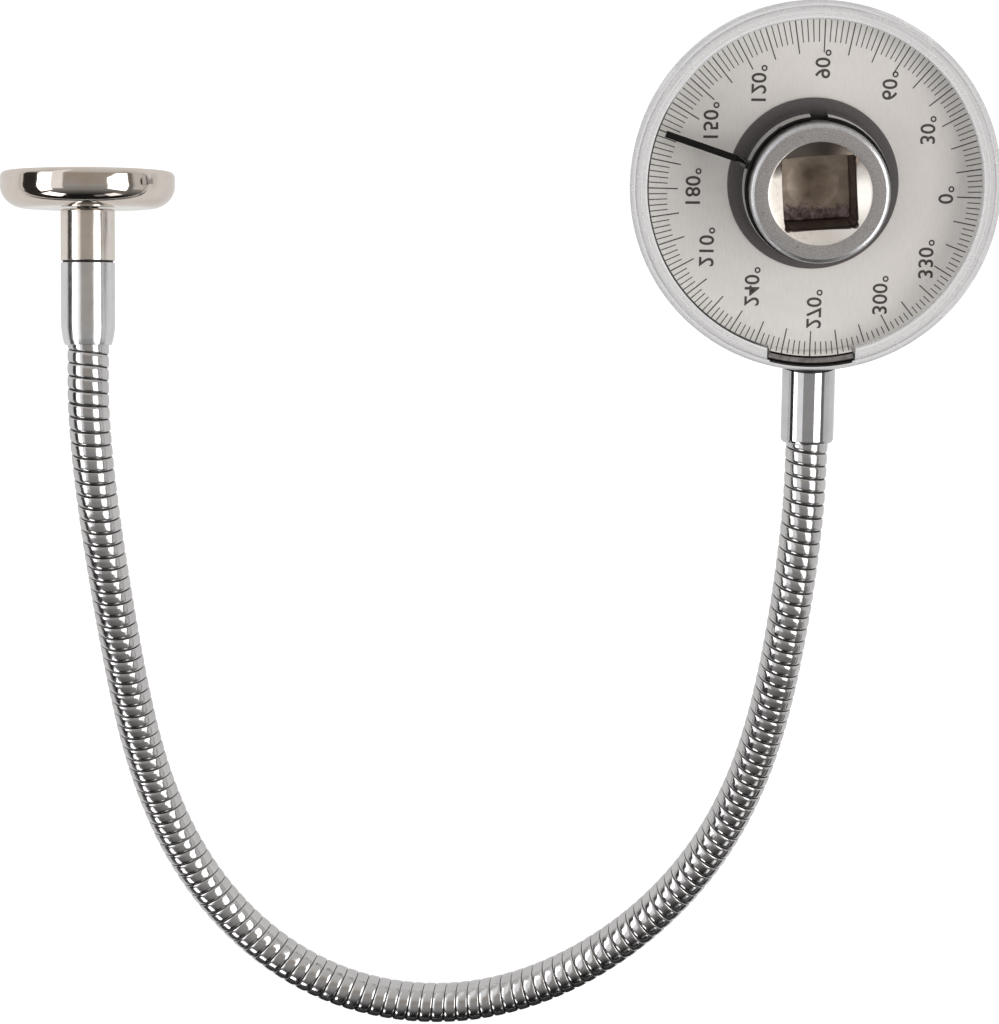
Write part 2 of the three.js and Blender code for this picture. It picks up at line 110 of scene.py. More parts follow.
def rounded(points, n=5):
    """A closed or open 2D outline whose corners are rounded: points are (x, y) or (x, y, radius)."""
    pts = [(p[0], p[1], p[2] if len(p) > 2 else 0.0) for p in points]
    out = []
    count = len(pts)
    for i, (x, y, r) in enumerate(pts):
        a, b = np.array(pts[i - 1][:2]), np.array(pts[(i + 1) % count][:2])
        p = np.array([x, y])
        u, v = a - p, b - p
        lu, lv = np.linalg.norm(u), np.linalg.norm(v)
        if r <= 0 or lu < 1e-9 or lv < 1e-9:
            out.append((x, y))
            continue
        u, v = u / lu, v / lv
        cosang = float(np.clip(u @ v, -1, 1))
        half = math.acos(cosang) / 2
        if half > math.pi / 2 - 1e-3 or half < 1e-3:
            out.append((x, y))
            continue
        cut = min(r / math.tan(half), 0.48 * lu, 0.48 * lv)
        r = cut * math.tan(half)
        centre = p + (u + v) / np.linalg.norm(u + v) * (r / math.sin(half))
        s, e = p + u * cut - centre, p + v * cut - centre
        a0, a1 = math.atan2(s[1], s[0]), math.atan2(e[1], e[0])
        d = (a1 - a0 + math.pi) % (2 * math.pi) - math.pi
        for k in range(n + 1):
            t = a0 + d * k / n
            out.append((centre[0] + r * math.cos(t), centre[1] + r * math.sin(t)))
    return out


def lathe(name, outline, segments=128, n=4, closed=True, place=None, a0=0.0, a1=2 * math.pi, sharp_deg=32.0):
    """Turns an outline of (radius, z[, corner radius]) about Z. closed is a ring's outline; else it runs from axis to axis."""
    prof = rounded(outline, n)
    if not closed:
        prof = [(max(r, 0.0), z) for r, z in prof]
    full = abs((a1 - a0) - 2 * math.pi) < 1e-6
    steps = segments if full else segments + 1
    angles = [a0 + (a1 - a0) * k / segments for k in range(steps)]
    verts, index = [], []
    for j, (r, z) in enumerate(prof):
        if r < 1e-6:
            verts.append((0, 0, z))
            index.append([len(verts) - 1] * steps)
        else:
            row = []
            for t in angles:
                verts.append((r * math.cos(t), r * math.sin(t), z))
                row.append(len(verts) - 1)
            index.append(row)
    faces = []
    m = len(prof)
    pairs = range(m) if closed else range(m - 1)
    for j in pairs:
        A, B = index[j], index[(j + 1) % m]
        for k in range(segments):
            k2 = (k + 1) % steps if full else k + 1
            q = [A[k], A[k2], B[k2], B[k]]
            q = [v for i, v in enumerate(q) if v not in q[:i]]
            if len(q) >= 3:
                faces.append(q)
    if not full:
        faces.append([index[j][0] for j in range(m)])
        faces.append([index[j][-1] for j in reversed(range(m))])
    verts = np.array(verts, float)
    if place is not None:
        M = np.array(place)
        verts = verts @ M[:3, :3].T + M[:3, 3]
    return make_mesh(name, verts, faces, sharp_deg)


def frame_along(origin, direction):
    """A 4x4 in millimetres that puts Z along a direction."""
    d = np.array(direction, float)
    d = d / np.linalg.norm(d)
    ref = np.array([1.0, 0, 0]) if abs(d[0]) < 0.9 else np.array([0, 1.0, 0])
    x = ref - d * (ref @ d)
    x = x / np.linalg.norm(x)
    y = np.cross(d, x)
    M = np.eye(4)
    M[:3, 0], M[:3, 1], M[:3, 2], M[:3, 3] = x, y, d, origin
    return M


def prism(name, outline, z0, z1, place=None, sharp_deg=32.0):
    """A flat outline of (x, y[, corner radius]) stood up from z0 to z1."""
    prof = rounded(outline, 5)
    m = len(prof)
    verts = [(x, y, z0) for x, y in prof] + [(x, y, z1) for x, y in prof]
    faces = [list(range(m))[::-1], list(range(m, 2 * m))]
    faces += [[i, (i + 1) % m, m + (i + 1) % m, m + i] for i in range(m)]
    verts = np.array(verts, float)
    if place is not None:
        M = np.array(place)
        verts = verts @ M[:3, :3].T + M[:3, 3]
    return make_mesh(name, verts, faces, sharp_deg)


def carve(obj, cutter, operation="DIFFERENCE", sharp_deg=32.0):
    """A boolean with the exact solver, applied to the mesh."""
    mod = obj.modifiers.new("cut", "BOOLEAN")
    mod.operation = operation
    mod.solver = "EXACT"
    mod.object = cutter
    bpy.context.view_layer.update()
    dg = bpy.context.evaluated_depsgraph_get()
    done = bpy.data.meshes.new_from_object(obj.evaluated_get(dg))
    obj.modifiers.clear()
    old = obj.data
    obj.data = done
    bpy.data.meshes.remove(old)
    bpy.data.objects.remove(cutter)
    finish_mesh(obj.data, sharp_deg)
    return obj


def bevel(obj, width_mm, segments=2, angle_deg=35.0, sharp_deg=40.0):
    mod = obj.modifiers.new("bevel", "BEVEL")
    mod.width = width_mm * MM
    mod.segments = segments
    mod.limit_method = "ANGLE"
    mod.angle_limit = math.radians(angle_deg)
    mod.use_clamp_overlap = True
    bpy.context.view_layer.update()
    dg = bpy.context.evaluated_depsgraph_get()
    done = bpy.data.meshes.new_from_object(obj.evaluated_get(dg))
    obj.modifiers.clear()
    old = obj.data
    obj.data = done
    bpy.data.meshes.remove(old)
    finish_mesh(obj.data, sharp_deg)
    return obj


# ---------- material helpers ----------
class Look:
    """A node material with a Principled shader, and small builders for its inputs."""

    def __init__(self, name):
        self.mat = bpy.data.materials.new(name)
        self.mat.use_nodes = True
        self.nt = self.mat.node_tree
        self.nt.nodes.clear()
        self.out = self.nt.nodes.new("ShaderNodeOutputMaterial")
        self.bsdf = self.nt.nodes.new("ShaderNodeBsdfPrincipled")
        self.link(self.bsdf.outputs["BSDF"], self.out.inputs["Surface"])
        self.coords = self.nt.nodes.new("ShaderNodeTexCoord").outputs["Object"]

    def link(self, a, b):
        self.nt.links.new(a, b)

    def set(self, **values):
        for key, value in values.items():
            socket = self.bsdf.inputs[key.replace("_", " ")]
            socket.default_value = (*value, 1.0) if isinstance(value, tuple) and len(value) == 3 else value
        return self

    def scaled(self, scale):
        """Object coordinates stretched by a factor for each axis."""
        node = self.nt.nodes.new("ShaderNodeMapping")
        node.inputs["Scale"].default_value = scale
        self.link(self.coords, node.inputs["Vector"])
        return node.outputs["Vector"]

    def noise(self, scale, detail=3.0, rough=0.5, vector=None, distortion=0.0):
        node = self.nt.nodes.new("ShaderNodeTexNoise")
        node.inputs["Scale"].default_value = scale
        node.inputs["Detail"].default_value = detail
        node.inputs["Roughness"].default_value = rough
        node.inputs["Distortion"].default_value = distortion
        self.link(vector or self.coords, node.inputs["Vector"])
        return node.outputs["Fac"]

    def voronoi(self, scale, vector=None, feature="F1"):
        node = self.nt.nodes.new("ShaderNodeTexVoronoi")
        node.feature = feature
        node.inputs["Scale"].default_value = scale
        self.link(vector or self.coords, node.inputs["Vector"])
        return node.outputs["Distance"]

    def ramp(self, fac, stops):
        node = self.nt.nodes.new("ShaderNodeValToRGB")
        elements = node.color_ramp.elements
        while len(elements) > 1:
            elements.remove(elements[-1])
        for i, (pos, color) in enumerate(stops):
            e = elements[0] if i == 0 else elements.new(pos)
            e.position = pos
            e.color = (*color, 1.0) if isinstance(color, tuple) else (color, color, color, 1.0)
        self.link(fac, node.inputs["Fac"])
        return node.outputs["Color"]

    def span(self, fac, lo, hi, a=0.0, b=1.0, smooth=False):
        node = self.nt.nodes.new("ShaderNodeMapRange")
        node.interpolation_type = "SMOOTHSTEP" if smooth else "LINEAR"
        node.inputs["From Min"].default_value = a
        node.inputs["From Max"].default_value = b
        node.inputs["To Min"].default_value = lo
        node.inputs["To Max"].default_value = hi
        self.link(fac, node.inputs["Value"])
        return node.outputs["Result"]

    def math(self, op, a, b=None):
        node = self.nt.nodes.new("ShaderNodeMath")
        node.operation = op
        for socket, value in zip(node.inputs, (a, b)):
            if value is None:
                continue
            if isinstance(value, (int, float)):
                socket.default_value = value
            else:
                self.link(value, socket)
        return node.outputs["Value"]

    def mix(self, fac, a, b, blend="MIX"):
        node = self.nt.nodes.new("ShaderNodeMix")
        node.data_type = "RGBA"
        node.blend_type = blend
        for socket, value in ((node.inputs["Factor"], fac), (node.inputs["A"], a), (node.inputs["B"], b)):
            target = socket
            if socket.name in ("A", "B"):
                target = [s for s in node.inputs if s.name == socket.name and s.type == "RGBA"][0]
            if isinstance(value, (int, float)):
                target.default_value = value
            elif isinstance(value, tuple):
                target.default_value = (*value, 1.0)
            else:
                self.link(value, target)
        return [s for s in node.outputs if s.type == "RGBA"][0]

    def axes(self):
        node = self.nt.nodes.new("ShaderNodeSeparateXYZ")
        self.link(self.coords, node.inputs["Vector"])
        return node.outputs["X"], node.outputs["Y"], node.outputs["Z"]

    def radius(self):
        x, y, _ = self.axes()
        return self.math("SQRT", self.math("ADD", self.math("MULTIPLY", x, x), self.math("MULTIPLY", y, y)))

    def bump(self, height, strength, distance_mm, normal=None):
        node = self.nt.nodes.new("ShaderNodeBump")
        node.inputs["Strength"].default_value = strength
        node.inputs["Distance"].default_value = distance_mm * MM
        self.link(height, node.inputs["Height"])
        if normal is not None:
            self.link(normal, node.inputs["Normal"])
        return node.outputs["Normal"]

    def to(self, socket, value):
        self.link(value, self.bsdf.inputs[socket])
        return self


def dress(obj, look):
    obj.data.materials.clear()
    obj.data.materials.append(look.mat)
    return obj


# ---------- materials ----------
def chrome_look(name, color, rough_lo, rough_hi, mottle=0.0, warm=(1.0, 1.0, 1.0)):
    look = Look(name)
    look.set(Metallic=1.0)
    cloud = look.noise(220.0, 4.0, 0.6)
    fine = look.noise(2600.0, 3.0, 0.55)
    dark = tuple(c * 0.9 * w for c, w in zip(color, warm))
    look.to("Base Color", look.ramp(cloud, [(0.3, dark), (0.7, color)]))
    look.to("Roughness", look.span(look.noise(700.0, 4.0, 0.6), rough_lo, rough_hi, 0.3, 0.75))
    height = fine if mottle <= 0 else look.math("ADD", look.math("MULTIPLY", look.noise(800.0, 2.0, 0.5), 1.0), look.math("MULTIPLY", fine, 0.12))
    look.to("Normal", look.bump(height, 0.35 if mottle <= 0 else 0.6, 0.004 if mottle <= 0 else mottle))
    return look


CHROME = chrome_look("bright_chrome", (0.625, 0.62, 0.62), 0.05, 0.12, 0.0, (0.98, 0.98, 1.0))
HOSE = chrome_look("hose_chrome", (0.61, 0.6, 0.595), 0.1, 0.22, 0.02, (0.97, 0.97, 0.98))
NICKEL = chrome_look("bright_nickel", (0.70, 0.64, 0.585), 0.04, 0.09, 0.0, (1.0, 0.97, 0.94))
# rougher copies of chrome and nickel for the magnet end, their base colour painted lighter so that its reflections read
# lighter
LIGHTENED_CHROME = chrome_look("lightened_chrome", (0.73, 0.73, 0.725), 0.15, 0.22, 0.0, (0.98, 0.98, 1.0))
LIGHTENED_NICKEL = chrome_look("lightened_nickel", (0.785, 0.735, 0.685), 0.14, 0.2, 0.0, (1.0, 0.97, 0.94))
POLISHED = chrome_look("polished_ball", (0.64, 0.64, 0.65), 0.03, 0.1)

# painted shade: near-black steel for the hose core and the stem's groove, far darker than bare steel, standing for the
# shade between the turns
CORE_SHADE_STEEL = Look("hose_core_shade").set(Metallic=1.0)
CORE_SHADE_STEEL.to("Base Color", CORE_SHADE_STEEL.ramp(CORE_SHADE_STEEL.noise(900.0, 3.0, 0.6), [(0.3, (0.02, 0.019, 0.018)), (0.75, (0.09, 0.088, 0.085))]))
CORE_SHADE_STEEL.to("Roughness", CORE_SHADE_STEEL.span(CORE_SHADE_STEEL.noise(1500.0), 0.35, 0.6))

SPRING = Look("spring_steel").set(Metallic=1.0)
SPRING.to("Base Color", SPRING.ramp(SPRING.noise(500.0, 4.0, 0.6), [(0.3, (0.2, 0.2, 0.205)), (0.7, (0.36, 0.36, 0.365))]))
SPRING.to("Roughness", SPRING.span(SPRING.noise(1200.0, 4.0, 0.7), 0.22, 0.42))
SPRING.to("Normal", SPRING.bump(SPRING.noise(2500.0, 3.0, 0.6), 0.4, 0.01))

# drive body: satin, finely pitted outside, with a painted highlight on the slope and painted shade under the pointer;
# oiled and stained inside the square, with painted shade at the foot and top of its walls
STEEL = Look("drive_steel").set(Metallic=1.0)
_x, _y, _z = STEEL.axes()
_r = STEEL.radius()
_inside = STEEL.math("MULTIPLY", STEEL.math("LESS_THAN", _r, 9.6 * MM), STEEL.span(_z, 1.0, 0.0, 43.6 * MM, 44.9 * MM, True))
_inside = STEEL.math("MULTIPLY", _inside, STEEL.math("GREATER_THAN", _z, 26.0 * MM))
_pits = STEEL.noise(5200.0, 2.0, 0.6)
_blotch = STEEL.noise(420.0, 5.0, 0.65)
_outer = STEEL.mix(STEEL.span(_pits, 0.0, 1.0, 0.42, 0.62), (0.46, 0.455, 0.46), (0.66, 0.66, 0.67))
_outer = STEEL.mix(STEEL.span(_blotch, 0.0, 0.55, 0.45, 0.75), _outer, (0.42, 0.41, 0.42))
# the flat end face is duller, with small dark pits
_face = STEEL.math("MULTIPLY", STEEL.math("GREATER_THAN", _z, 45.93 * MM), STEEL.math("LESS_THAN", _r, 11.4 * MM))
_specks = STEEL.span(STEEL.voronoi(900.0), 1.0, 0.0, 0.10, 0.2, True)
_dull = STEEL.mix(STEEL.span(_pits, 0.0, 1.0, 0.4, 0.62), (0.41, 0.388, 0.378), (0.61, 0.587, 0.577))
_dull = STEEL.mix(STEEL.math("MULTIPLY", _specks, STEEL.span(_blotch, 0.0, 0.8, 0.5, 0.62)), _dull, (0.12, 0.11, 0.11))
_outer = STEEL.mix(_face, _outer, _dull)
# the slope round the square is painted pale as a highlight, brighter on the -x side than on +x, and dark with old oil
# on one side
_slope = STEEL.math("MULTIPLY", STEEL.math("LESS_THAN", _r, 9.07 * MM), STEEL.math("GREATER_THAN", _z, 44.33 * MM))
_slope = STEEL.math("MULTIPLY", _slope, STEEL.math("LESS_THAN", _z, 45.96 * MM))
_oil = STEEL.math("ADD", STEEL.math("ADD", _y, STEEL.math("MULTIPLY", _x, -0.1)), STEEL.math("MULTIPLY", STEEL.noise(600.0, 3.0, 0.6), 2.4 * MM))
_oil = STEEL.span(_oil, 0.0, 1.0, 4.2 * MM, 6.6 * MM, True)
# painted highlight: pale on the -x side, darker towards +x
_highlight_side = STEEL.span(_x, 0.0, 1.0, -5.5 * MM, 5.5 * MM, True)
_highlight_and_oil = STEEL.mix(_highlight_side, (0.91, 0.845, 0.765), (0.66, 0.62, 0.575))
_highlight_and_oil = STEEL.mix(STEEL.span(STEEL.noise(500.0, 4.0, 0.7, distortion=0.5), 0.0, 0.5, 0.52, 0.7), _highlight_and_oil, (0.5, 0.46, 0.42))
_oily = STEEL.mix(STEEL.span(_x, 0.0, 1.0, -4.0 * MM, 0.5 * MM, True), (0.1, 0.083, 0.072), (0.21, 0.172, 0.143))
_highlight_and_oil = STEEL.mix(_oil, _highlight_and_oil, _oily)
_outer = STEEL.mix(_slope, _outer, _highlight_and_oil)
# painted shade: the outer wall is painted near black where the pointer ring stands round it, up to the bright turned
# corner
_painted_shade_band = STEEL.math("MULTIPLY", STEEL.math("LESS_THAN", _z, 45.08 * MM), STEEL.math("GREATER_THAN", _z, 30.15 * MM))
_painted_shade_band = STEEL.math("MULTIPLY", _painted_shade_band, STEEL.math("GREATER_THAN", _r, 11.0 * MM))
_outer = STEEL.mix(_painted_shade_band, _outer, (0.035, 0.034, 0.034))
_stain = STEEL.ramp(STEEL.noise(260.0, 5.0, 0.65, distortion=0.5), [(0.3, (0.40, 0.33, 0.265)), (0.5, (0.55, 0.46, 0.375)), (0.7, (0.68, 0.59, 0.49))])
# greasy dirt along one side of the floor
_dirt = STEEL.math("ADD", STEEL.math("MULTIPLY", _y, -1.0), STEEL.math("MULTIPLY", STEEL.noise(700.0, 4.0, 0.7, distortion=0.6), 5.0 * MM))
_muck = STEEL.ramp(STEEL.noise(620.0, 4.0, 0.65, distortion=0.5), [(0.36, (0.14, 0.1, 0.096)), (0.5, (0.28, 0.22, 0.212)), (0.64, (0.56, 0.475, 0.48))])
_stain = STEEL.mix(STEEL.span(_dirt, 0.0, 1.0, 6.1 * MM, 7.3 * MM, True), _stain, _muck)
_wall = STEEL.span(_z, 0.0, 1.0, 29.3 * MM, 29.9 * MM, True)
_grime_and_shade = STEEL.ramp(STEEL.noise(900.0, 5.0, 0.7, distortion=0.8), [(0.34, (0.1, 0.075, 0.07)), (0.5, (0.24, 0.19, 0.165)), (0.66, (0.48, 0.4, 0.36))])
# painted shade: the walls go near black at their foot and just under the mouth, with grime noise in between
_mid_wall = STEEL.math("MULTIPLY", STEEL.span(_z, 0.0, 1.0, 30.5 * MM, 33.0 * MM, True), STEEL.span(_z, 1.0, 0.0, 40.5 * MM, 42.5 * MM, True))
_grime_and_shade = STEEL.mix(_mid_wall, (0.06, 0.046, 0.042), _grime_and_shade)
_stain = STEEL.mix(_wall, _stain, _grime_and_shade)
STEEL.to("Base Color", STEEL.mix(STEEL.math("MULTIPLY", _inside, STEEL.math("SUBTRACT", 1.0, _slope)), _outer, _stain))
STEEL.to("Roughness", STEEL.math("ADD", STEEL.span(_inside, 0.30, 0.5), STEEL.math("MULTIPLY", _slope, 0.04)))
STEEL.to("Normal", STEEL.bump(_pits, 0.35, 0.03))

BLACK = Look("pointer_black")
BLACK.to("Base Color", BLACK.ramp(BLACK.noise(900.0, 3.0, 0.5), [(0.35, (0.003, 0.003, 0.003)), (0.7, (0.008, 0.0075, 0.0075))]))
BLACK.to("Roughness", BLACK.span(BLACK.noise(1500.0, 3.0, 0.6), 0.05, 0.12))
BLACK.to("Normal", BLACK.bump(BLACK.noise(1800.0, 2.0, 0.5), 0.12, 0.004))
BLACK.bsdf.inputs["Specular IOR Level"].default_value = 0.28

# the pointer ring's outer wall, polished by fingers
GLOSS = Look("pointer_gloss")
GLOSS.to("Base Color", GLOSS.ramp(GLOSS.noise(900.0, 3.0, 0.5), [(0.35, (0.004, 0.004, 0.004)), (0.7, (0.01, 0.0095, 0.0095))]))
GLOSS.to("Roughness", GLOSS.span(GLOSS.noise(1500.0, 3.0, 0.6), 0.04, 0.1))
GLOSS.to("Normal", GLOSS.bump(GLOSS.noise(1800.0, 2.0, 0.5), 0.1, 0.004))
GLOSS.bsdf.inputs["Specular IOR Level"].default_value = 1.0
GLOSS.bsdf.inputs["Coat Weight"].default_value = 0.8
GLOSS.bsdf.inputs["Coat Roughness"].default_value = 0.06

FIBRE = Look("washer_fibre")
FIBRE.to("Base Color", FIBRE.ramp(FIBRE.noise(2600.0, 4.0, 0.7), [(0.3, (0.076, 0.065, 0.065)), (0.7, (0.112, 0.098, 0.098))]))
FIBRE.to("Roughness", FIBRE.span(FIBRE.noise(1500.0), 0.5, 0.7))
FIBRE.to("Normal", FIBRE.bump(FIBRE.noise(3500.0, 3.0, 0.7), 0.5, 0.02))

NYLON = Look("black_nylon")
NYLON.to("Base Color", NYLON.ramp(NYLON.noise(1200.0, 3.0, 0.6), [(0.3, (0.012, 0.012, 0.013)), (0.7, (0.022, 0.0215, 0.023))]))
NYLON.to("Roughness", NYLON.span(NYLON.noise(2200.0), 0.4, 0.6))
NYLON.to("Normal", NYLON.bump(NYLON.noise(3000.0, 3.0, 0.6), 0.4, 0.02))

FERRITE = Look("ferrite")
FERRITE.to("Base Color", FERRITE.ramp(FERRITE.noise(2500.0, 5.0, 0.75), [(0.3, (0.018, 0.0175, 0.018)), (0.72, (0.055, 0.053, 0.054))]))
FERRITE.to("Roughness", FERRITE.span(FERRITE.noise(1800.0, 4.0), 0.42, 0.7))
FERRITE.to("Normal", FERRITE.bump(FERRITE.noise(1800.0, 5.0, 0.7), 0.6, 0.04))

# dial: satin silver sheet
DIAL = Look("dial_silver").set(Metallic=0.12)
_dx, _dy, _dz = DIAL.axes()
# painted shading: the tint drifts a little from the lower left to the upper right
_painted_tint_slope = DIAL.math("ADD", DIAL.math("MULTIPLY", _dx, 11.0), DIAL.math("MULTIPLY", _dy, 11.0))
_silver_and_painted_light = DIAL.ramp(DIAL.math("ADD", _painted_tint_slope, 0.5), [(0.0, (0.79, 0.76, 0.72)), (0.5, (0.80, 0.765, 0.73)), (1.0, (0.785, 0.737, 0.71))])
# painted light: the left side of the dial is lighter
_silver_and_painted_light = DIAL.mix(DIAL.span(_dx, 0.35, 0.0, -24.0 * MM, -4.0 * MM, True), _silver_and_painted_light, (0.99, 0.965, 0.93))
# it looks lighter round its edge, where the clear rim brings light in
_edge = DIAL.span(DIAL.radius(), 0.0, 1.0, 22.0 * MM, 30.5 * MM, True)
_silver_and_painted_light = DIAL.mix(DIAL.math("MULTIPLY", _edge, 0.9), _silver_and_painted_light, (0.99, 0.965, 0.93))
_grain = DIAL.noise(1.0, 4.0, 0.6, DIAL.scaled((2600.0, 500.0, 2600.0)))
DIAL.to("Base Color", DIAL.mix(DIAL.span(_grain, 0.0, 0.14, 0.35, 0.65), _silver_and_painted_light, (0.5, 0.485, 0.47)))
DIAL.to("Roughness", DIAL.span(DIAL.noise(900.0, 3.0), 0.42, 0.55))
DIAL.to("Normal", DIAL.bump(_grain, 0.15, 0.006))

INK = Look("dial_ink")
INK.to("Base Color", INK.ramp(INK.noise(1700.0, 4.0, 0.7), [(0.3, (0.045, 0.038, 0.034)), (0.75, (0.085, 0.075, 0.068))]))
INK.to("Roughness", INK.span(INK.noise(2600.0), 0.45, 0.65))

def clear_look(name, lip=False):
    """Clear moulding, whitish with fine turned lines; on the bezel's lip a dark refraction line is painted along the
    inner edge on one side.
    """
    look = Look(name)
    r = look.radius()
    x, y, _ = look.axes()
    wander = look.math("ADD", look.math("MULTIPLY", look.noise(90.0, 2.0, 0.5), 0.7 * MM), look.math("MULTIPLY", look.axes()[2], 0.9))
    rings = look.nt.nodes.new("ShaderNodeTexNoise")
    rings.noise_dimensions = "1D"
    rings.inputs["Scale"].default_value = 1500.0
    rings.inputs["Detail"].default_value = 3.0
    look.link(look.math("ADD", r, wander), rings.inputs["W"])
    rings = rings.outputs["Fac"]
    cloud = look.noise(350.0, 4.0, 0.6)
    color = look.mix(look.span(rings, 0.0, 1.0, 0.36, 0.62), (0.74, 0.735, 0.74), (0.965, 0.96, 0.96))
    if not lip:
        # shadow line where the backing plate stands against the wall
        near = look.math("MULTIPLY", look.span(look.math("ABSOLUTE", x), 1.0, 0.0, 7.3 * MM, 7.45 * MM, True), look.math("LESS_THAN", y, 0.0))
        line = look.math("MULTIPLY", look.math("LESS_THAN", r, 32.05 * MM), look.math("GREATER_THAN", look.axes()[2], 33.0 * MM))
        color = look.mix(look.math("MULTIPLY", near, line), color, (0.02, 0.018, 0.018))
    if lip:
        # painted refraction: a dark line along the lip's inner edge, on the left and lower left
        lean = look.math("DIVIDE", look.math("ADD", look.math("MULTIPLY", x, -0.92), look.math("MULTIPLY", y, -0.39)), r)
        dark = look.math("MULTIPLY", look.span(lean, 0.0, 0.95, 0.5, 0.7, True), look.span(r, 1.0, 0.0, 29.68 * MM, 29.76 * MM, True))
        color = look.mix(dark, color, (0.03, 0.028, 0.028))
    look.to("Base Color", color)
    look.to("Roughness", look.span(cloud, 0.2, 0.34, 0.3, 0.7))
    look.to("Normal", look.bump(rings, 0.12, 0.02))
    look.set(IOR=1.49)
    look.bsdf.inputs["Transmission Weight"].default_value = 0.24
    return look


CLEAR = clear_look("clear_moulding")
CLEAR_LIP = clear_look("clear_bezel", lip=True)

# the strip behind the arm: a grey channel, its two raised edges painted near black as shadow lines
STRIP = Look("backing_steel").set(Metallic=1.0)
_sr = STRIP.radius()
_web = STRIP.math("MULTIPLY", STRIP.span(_sr, 0.0, 1.0, 30.40 * MM, 30.48 * MM, True), STRIP.span(_sr, 1.0, 0.0, 31.32 * MM, 31.40 * MM, True))
_rust = STRIP.ramp(STRIP.noise(700.0, 4.0, 0.65), [(0.3, (0.17, 0.155, 0.15)), (0.7, (0.36, 0.34, 0.33))])
# painted shadow lines on both edges of the channel
_rust_and_shadow_lines = STRIP.mix(_web, (0.012, 0.011, 0.011), _rust)
# its inner face is bright and shows the dial in front of it
_sx, _sy, _sz = STRIP.axes()
_inner = STRIP.math("MULTIPLY", STRIP.math("LESS_THAN", _sr, 30.14 * MM), STRIP.math("LESS_THAN", _sz, 35.9 * MM))
STRIP.to("Base Color", STRIP.mix(_inner, _rust_and_shadow_lines, (0.97, 0.96, 0.95)))
STRIP.to("Roughness", STRIP.math("MULTIPLY", STRIP.span(STRIP.noise(1500.0, 3.0), 0.35, 0.5), STRIP.span(_inner, 1.0, 0.1)))
STRIP.to("Normal", STRIP.bump(STRIP.noise(2500.0, 3.0, 0.6), 0.08, 0.003))


# ---------- camera ----------
def make_camera():
    data = bpy.data.cameras.new("camera")
    data.sensor_width = 36.0
    data.lens = 3428.255 * 36.0 / 1024.0
    data.clip_start, data.clip_end = 0.01, 20.0
    cam = bpy.data.objects.new("camera", data)
    bpy.context.scene.collection.objects.link(cam)
    rot = (
        Matrix.Rotation(math.radians(-11.795), 4, "X")
        @ Matrix.Rotation(math.radians(0.291), 4, "Y")
        @ Matrix.Rotation(math.radians(0.596), 4, "Z")
    )
    cam.matrix_world = Matrix.Translation(Vector((-52.107, 67.046, 639.896)) * MM) @ rot
    bpy.context.scene.camera = cam


make_camera()


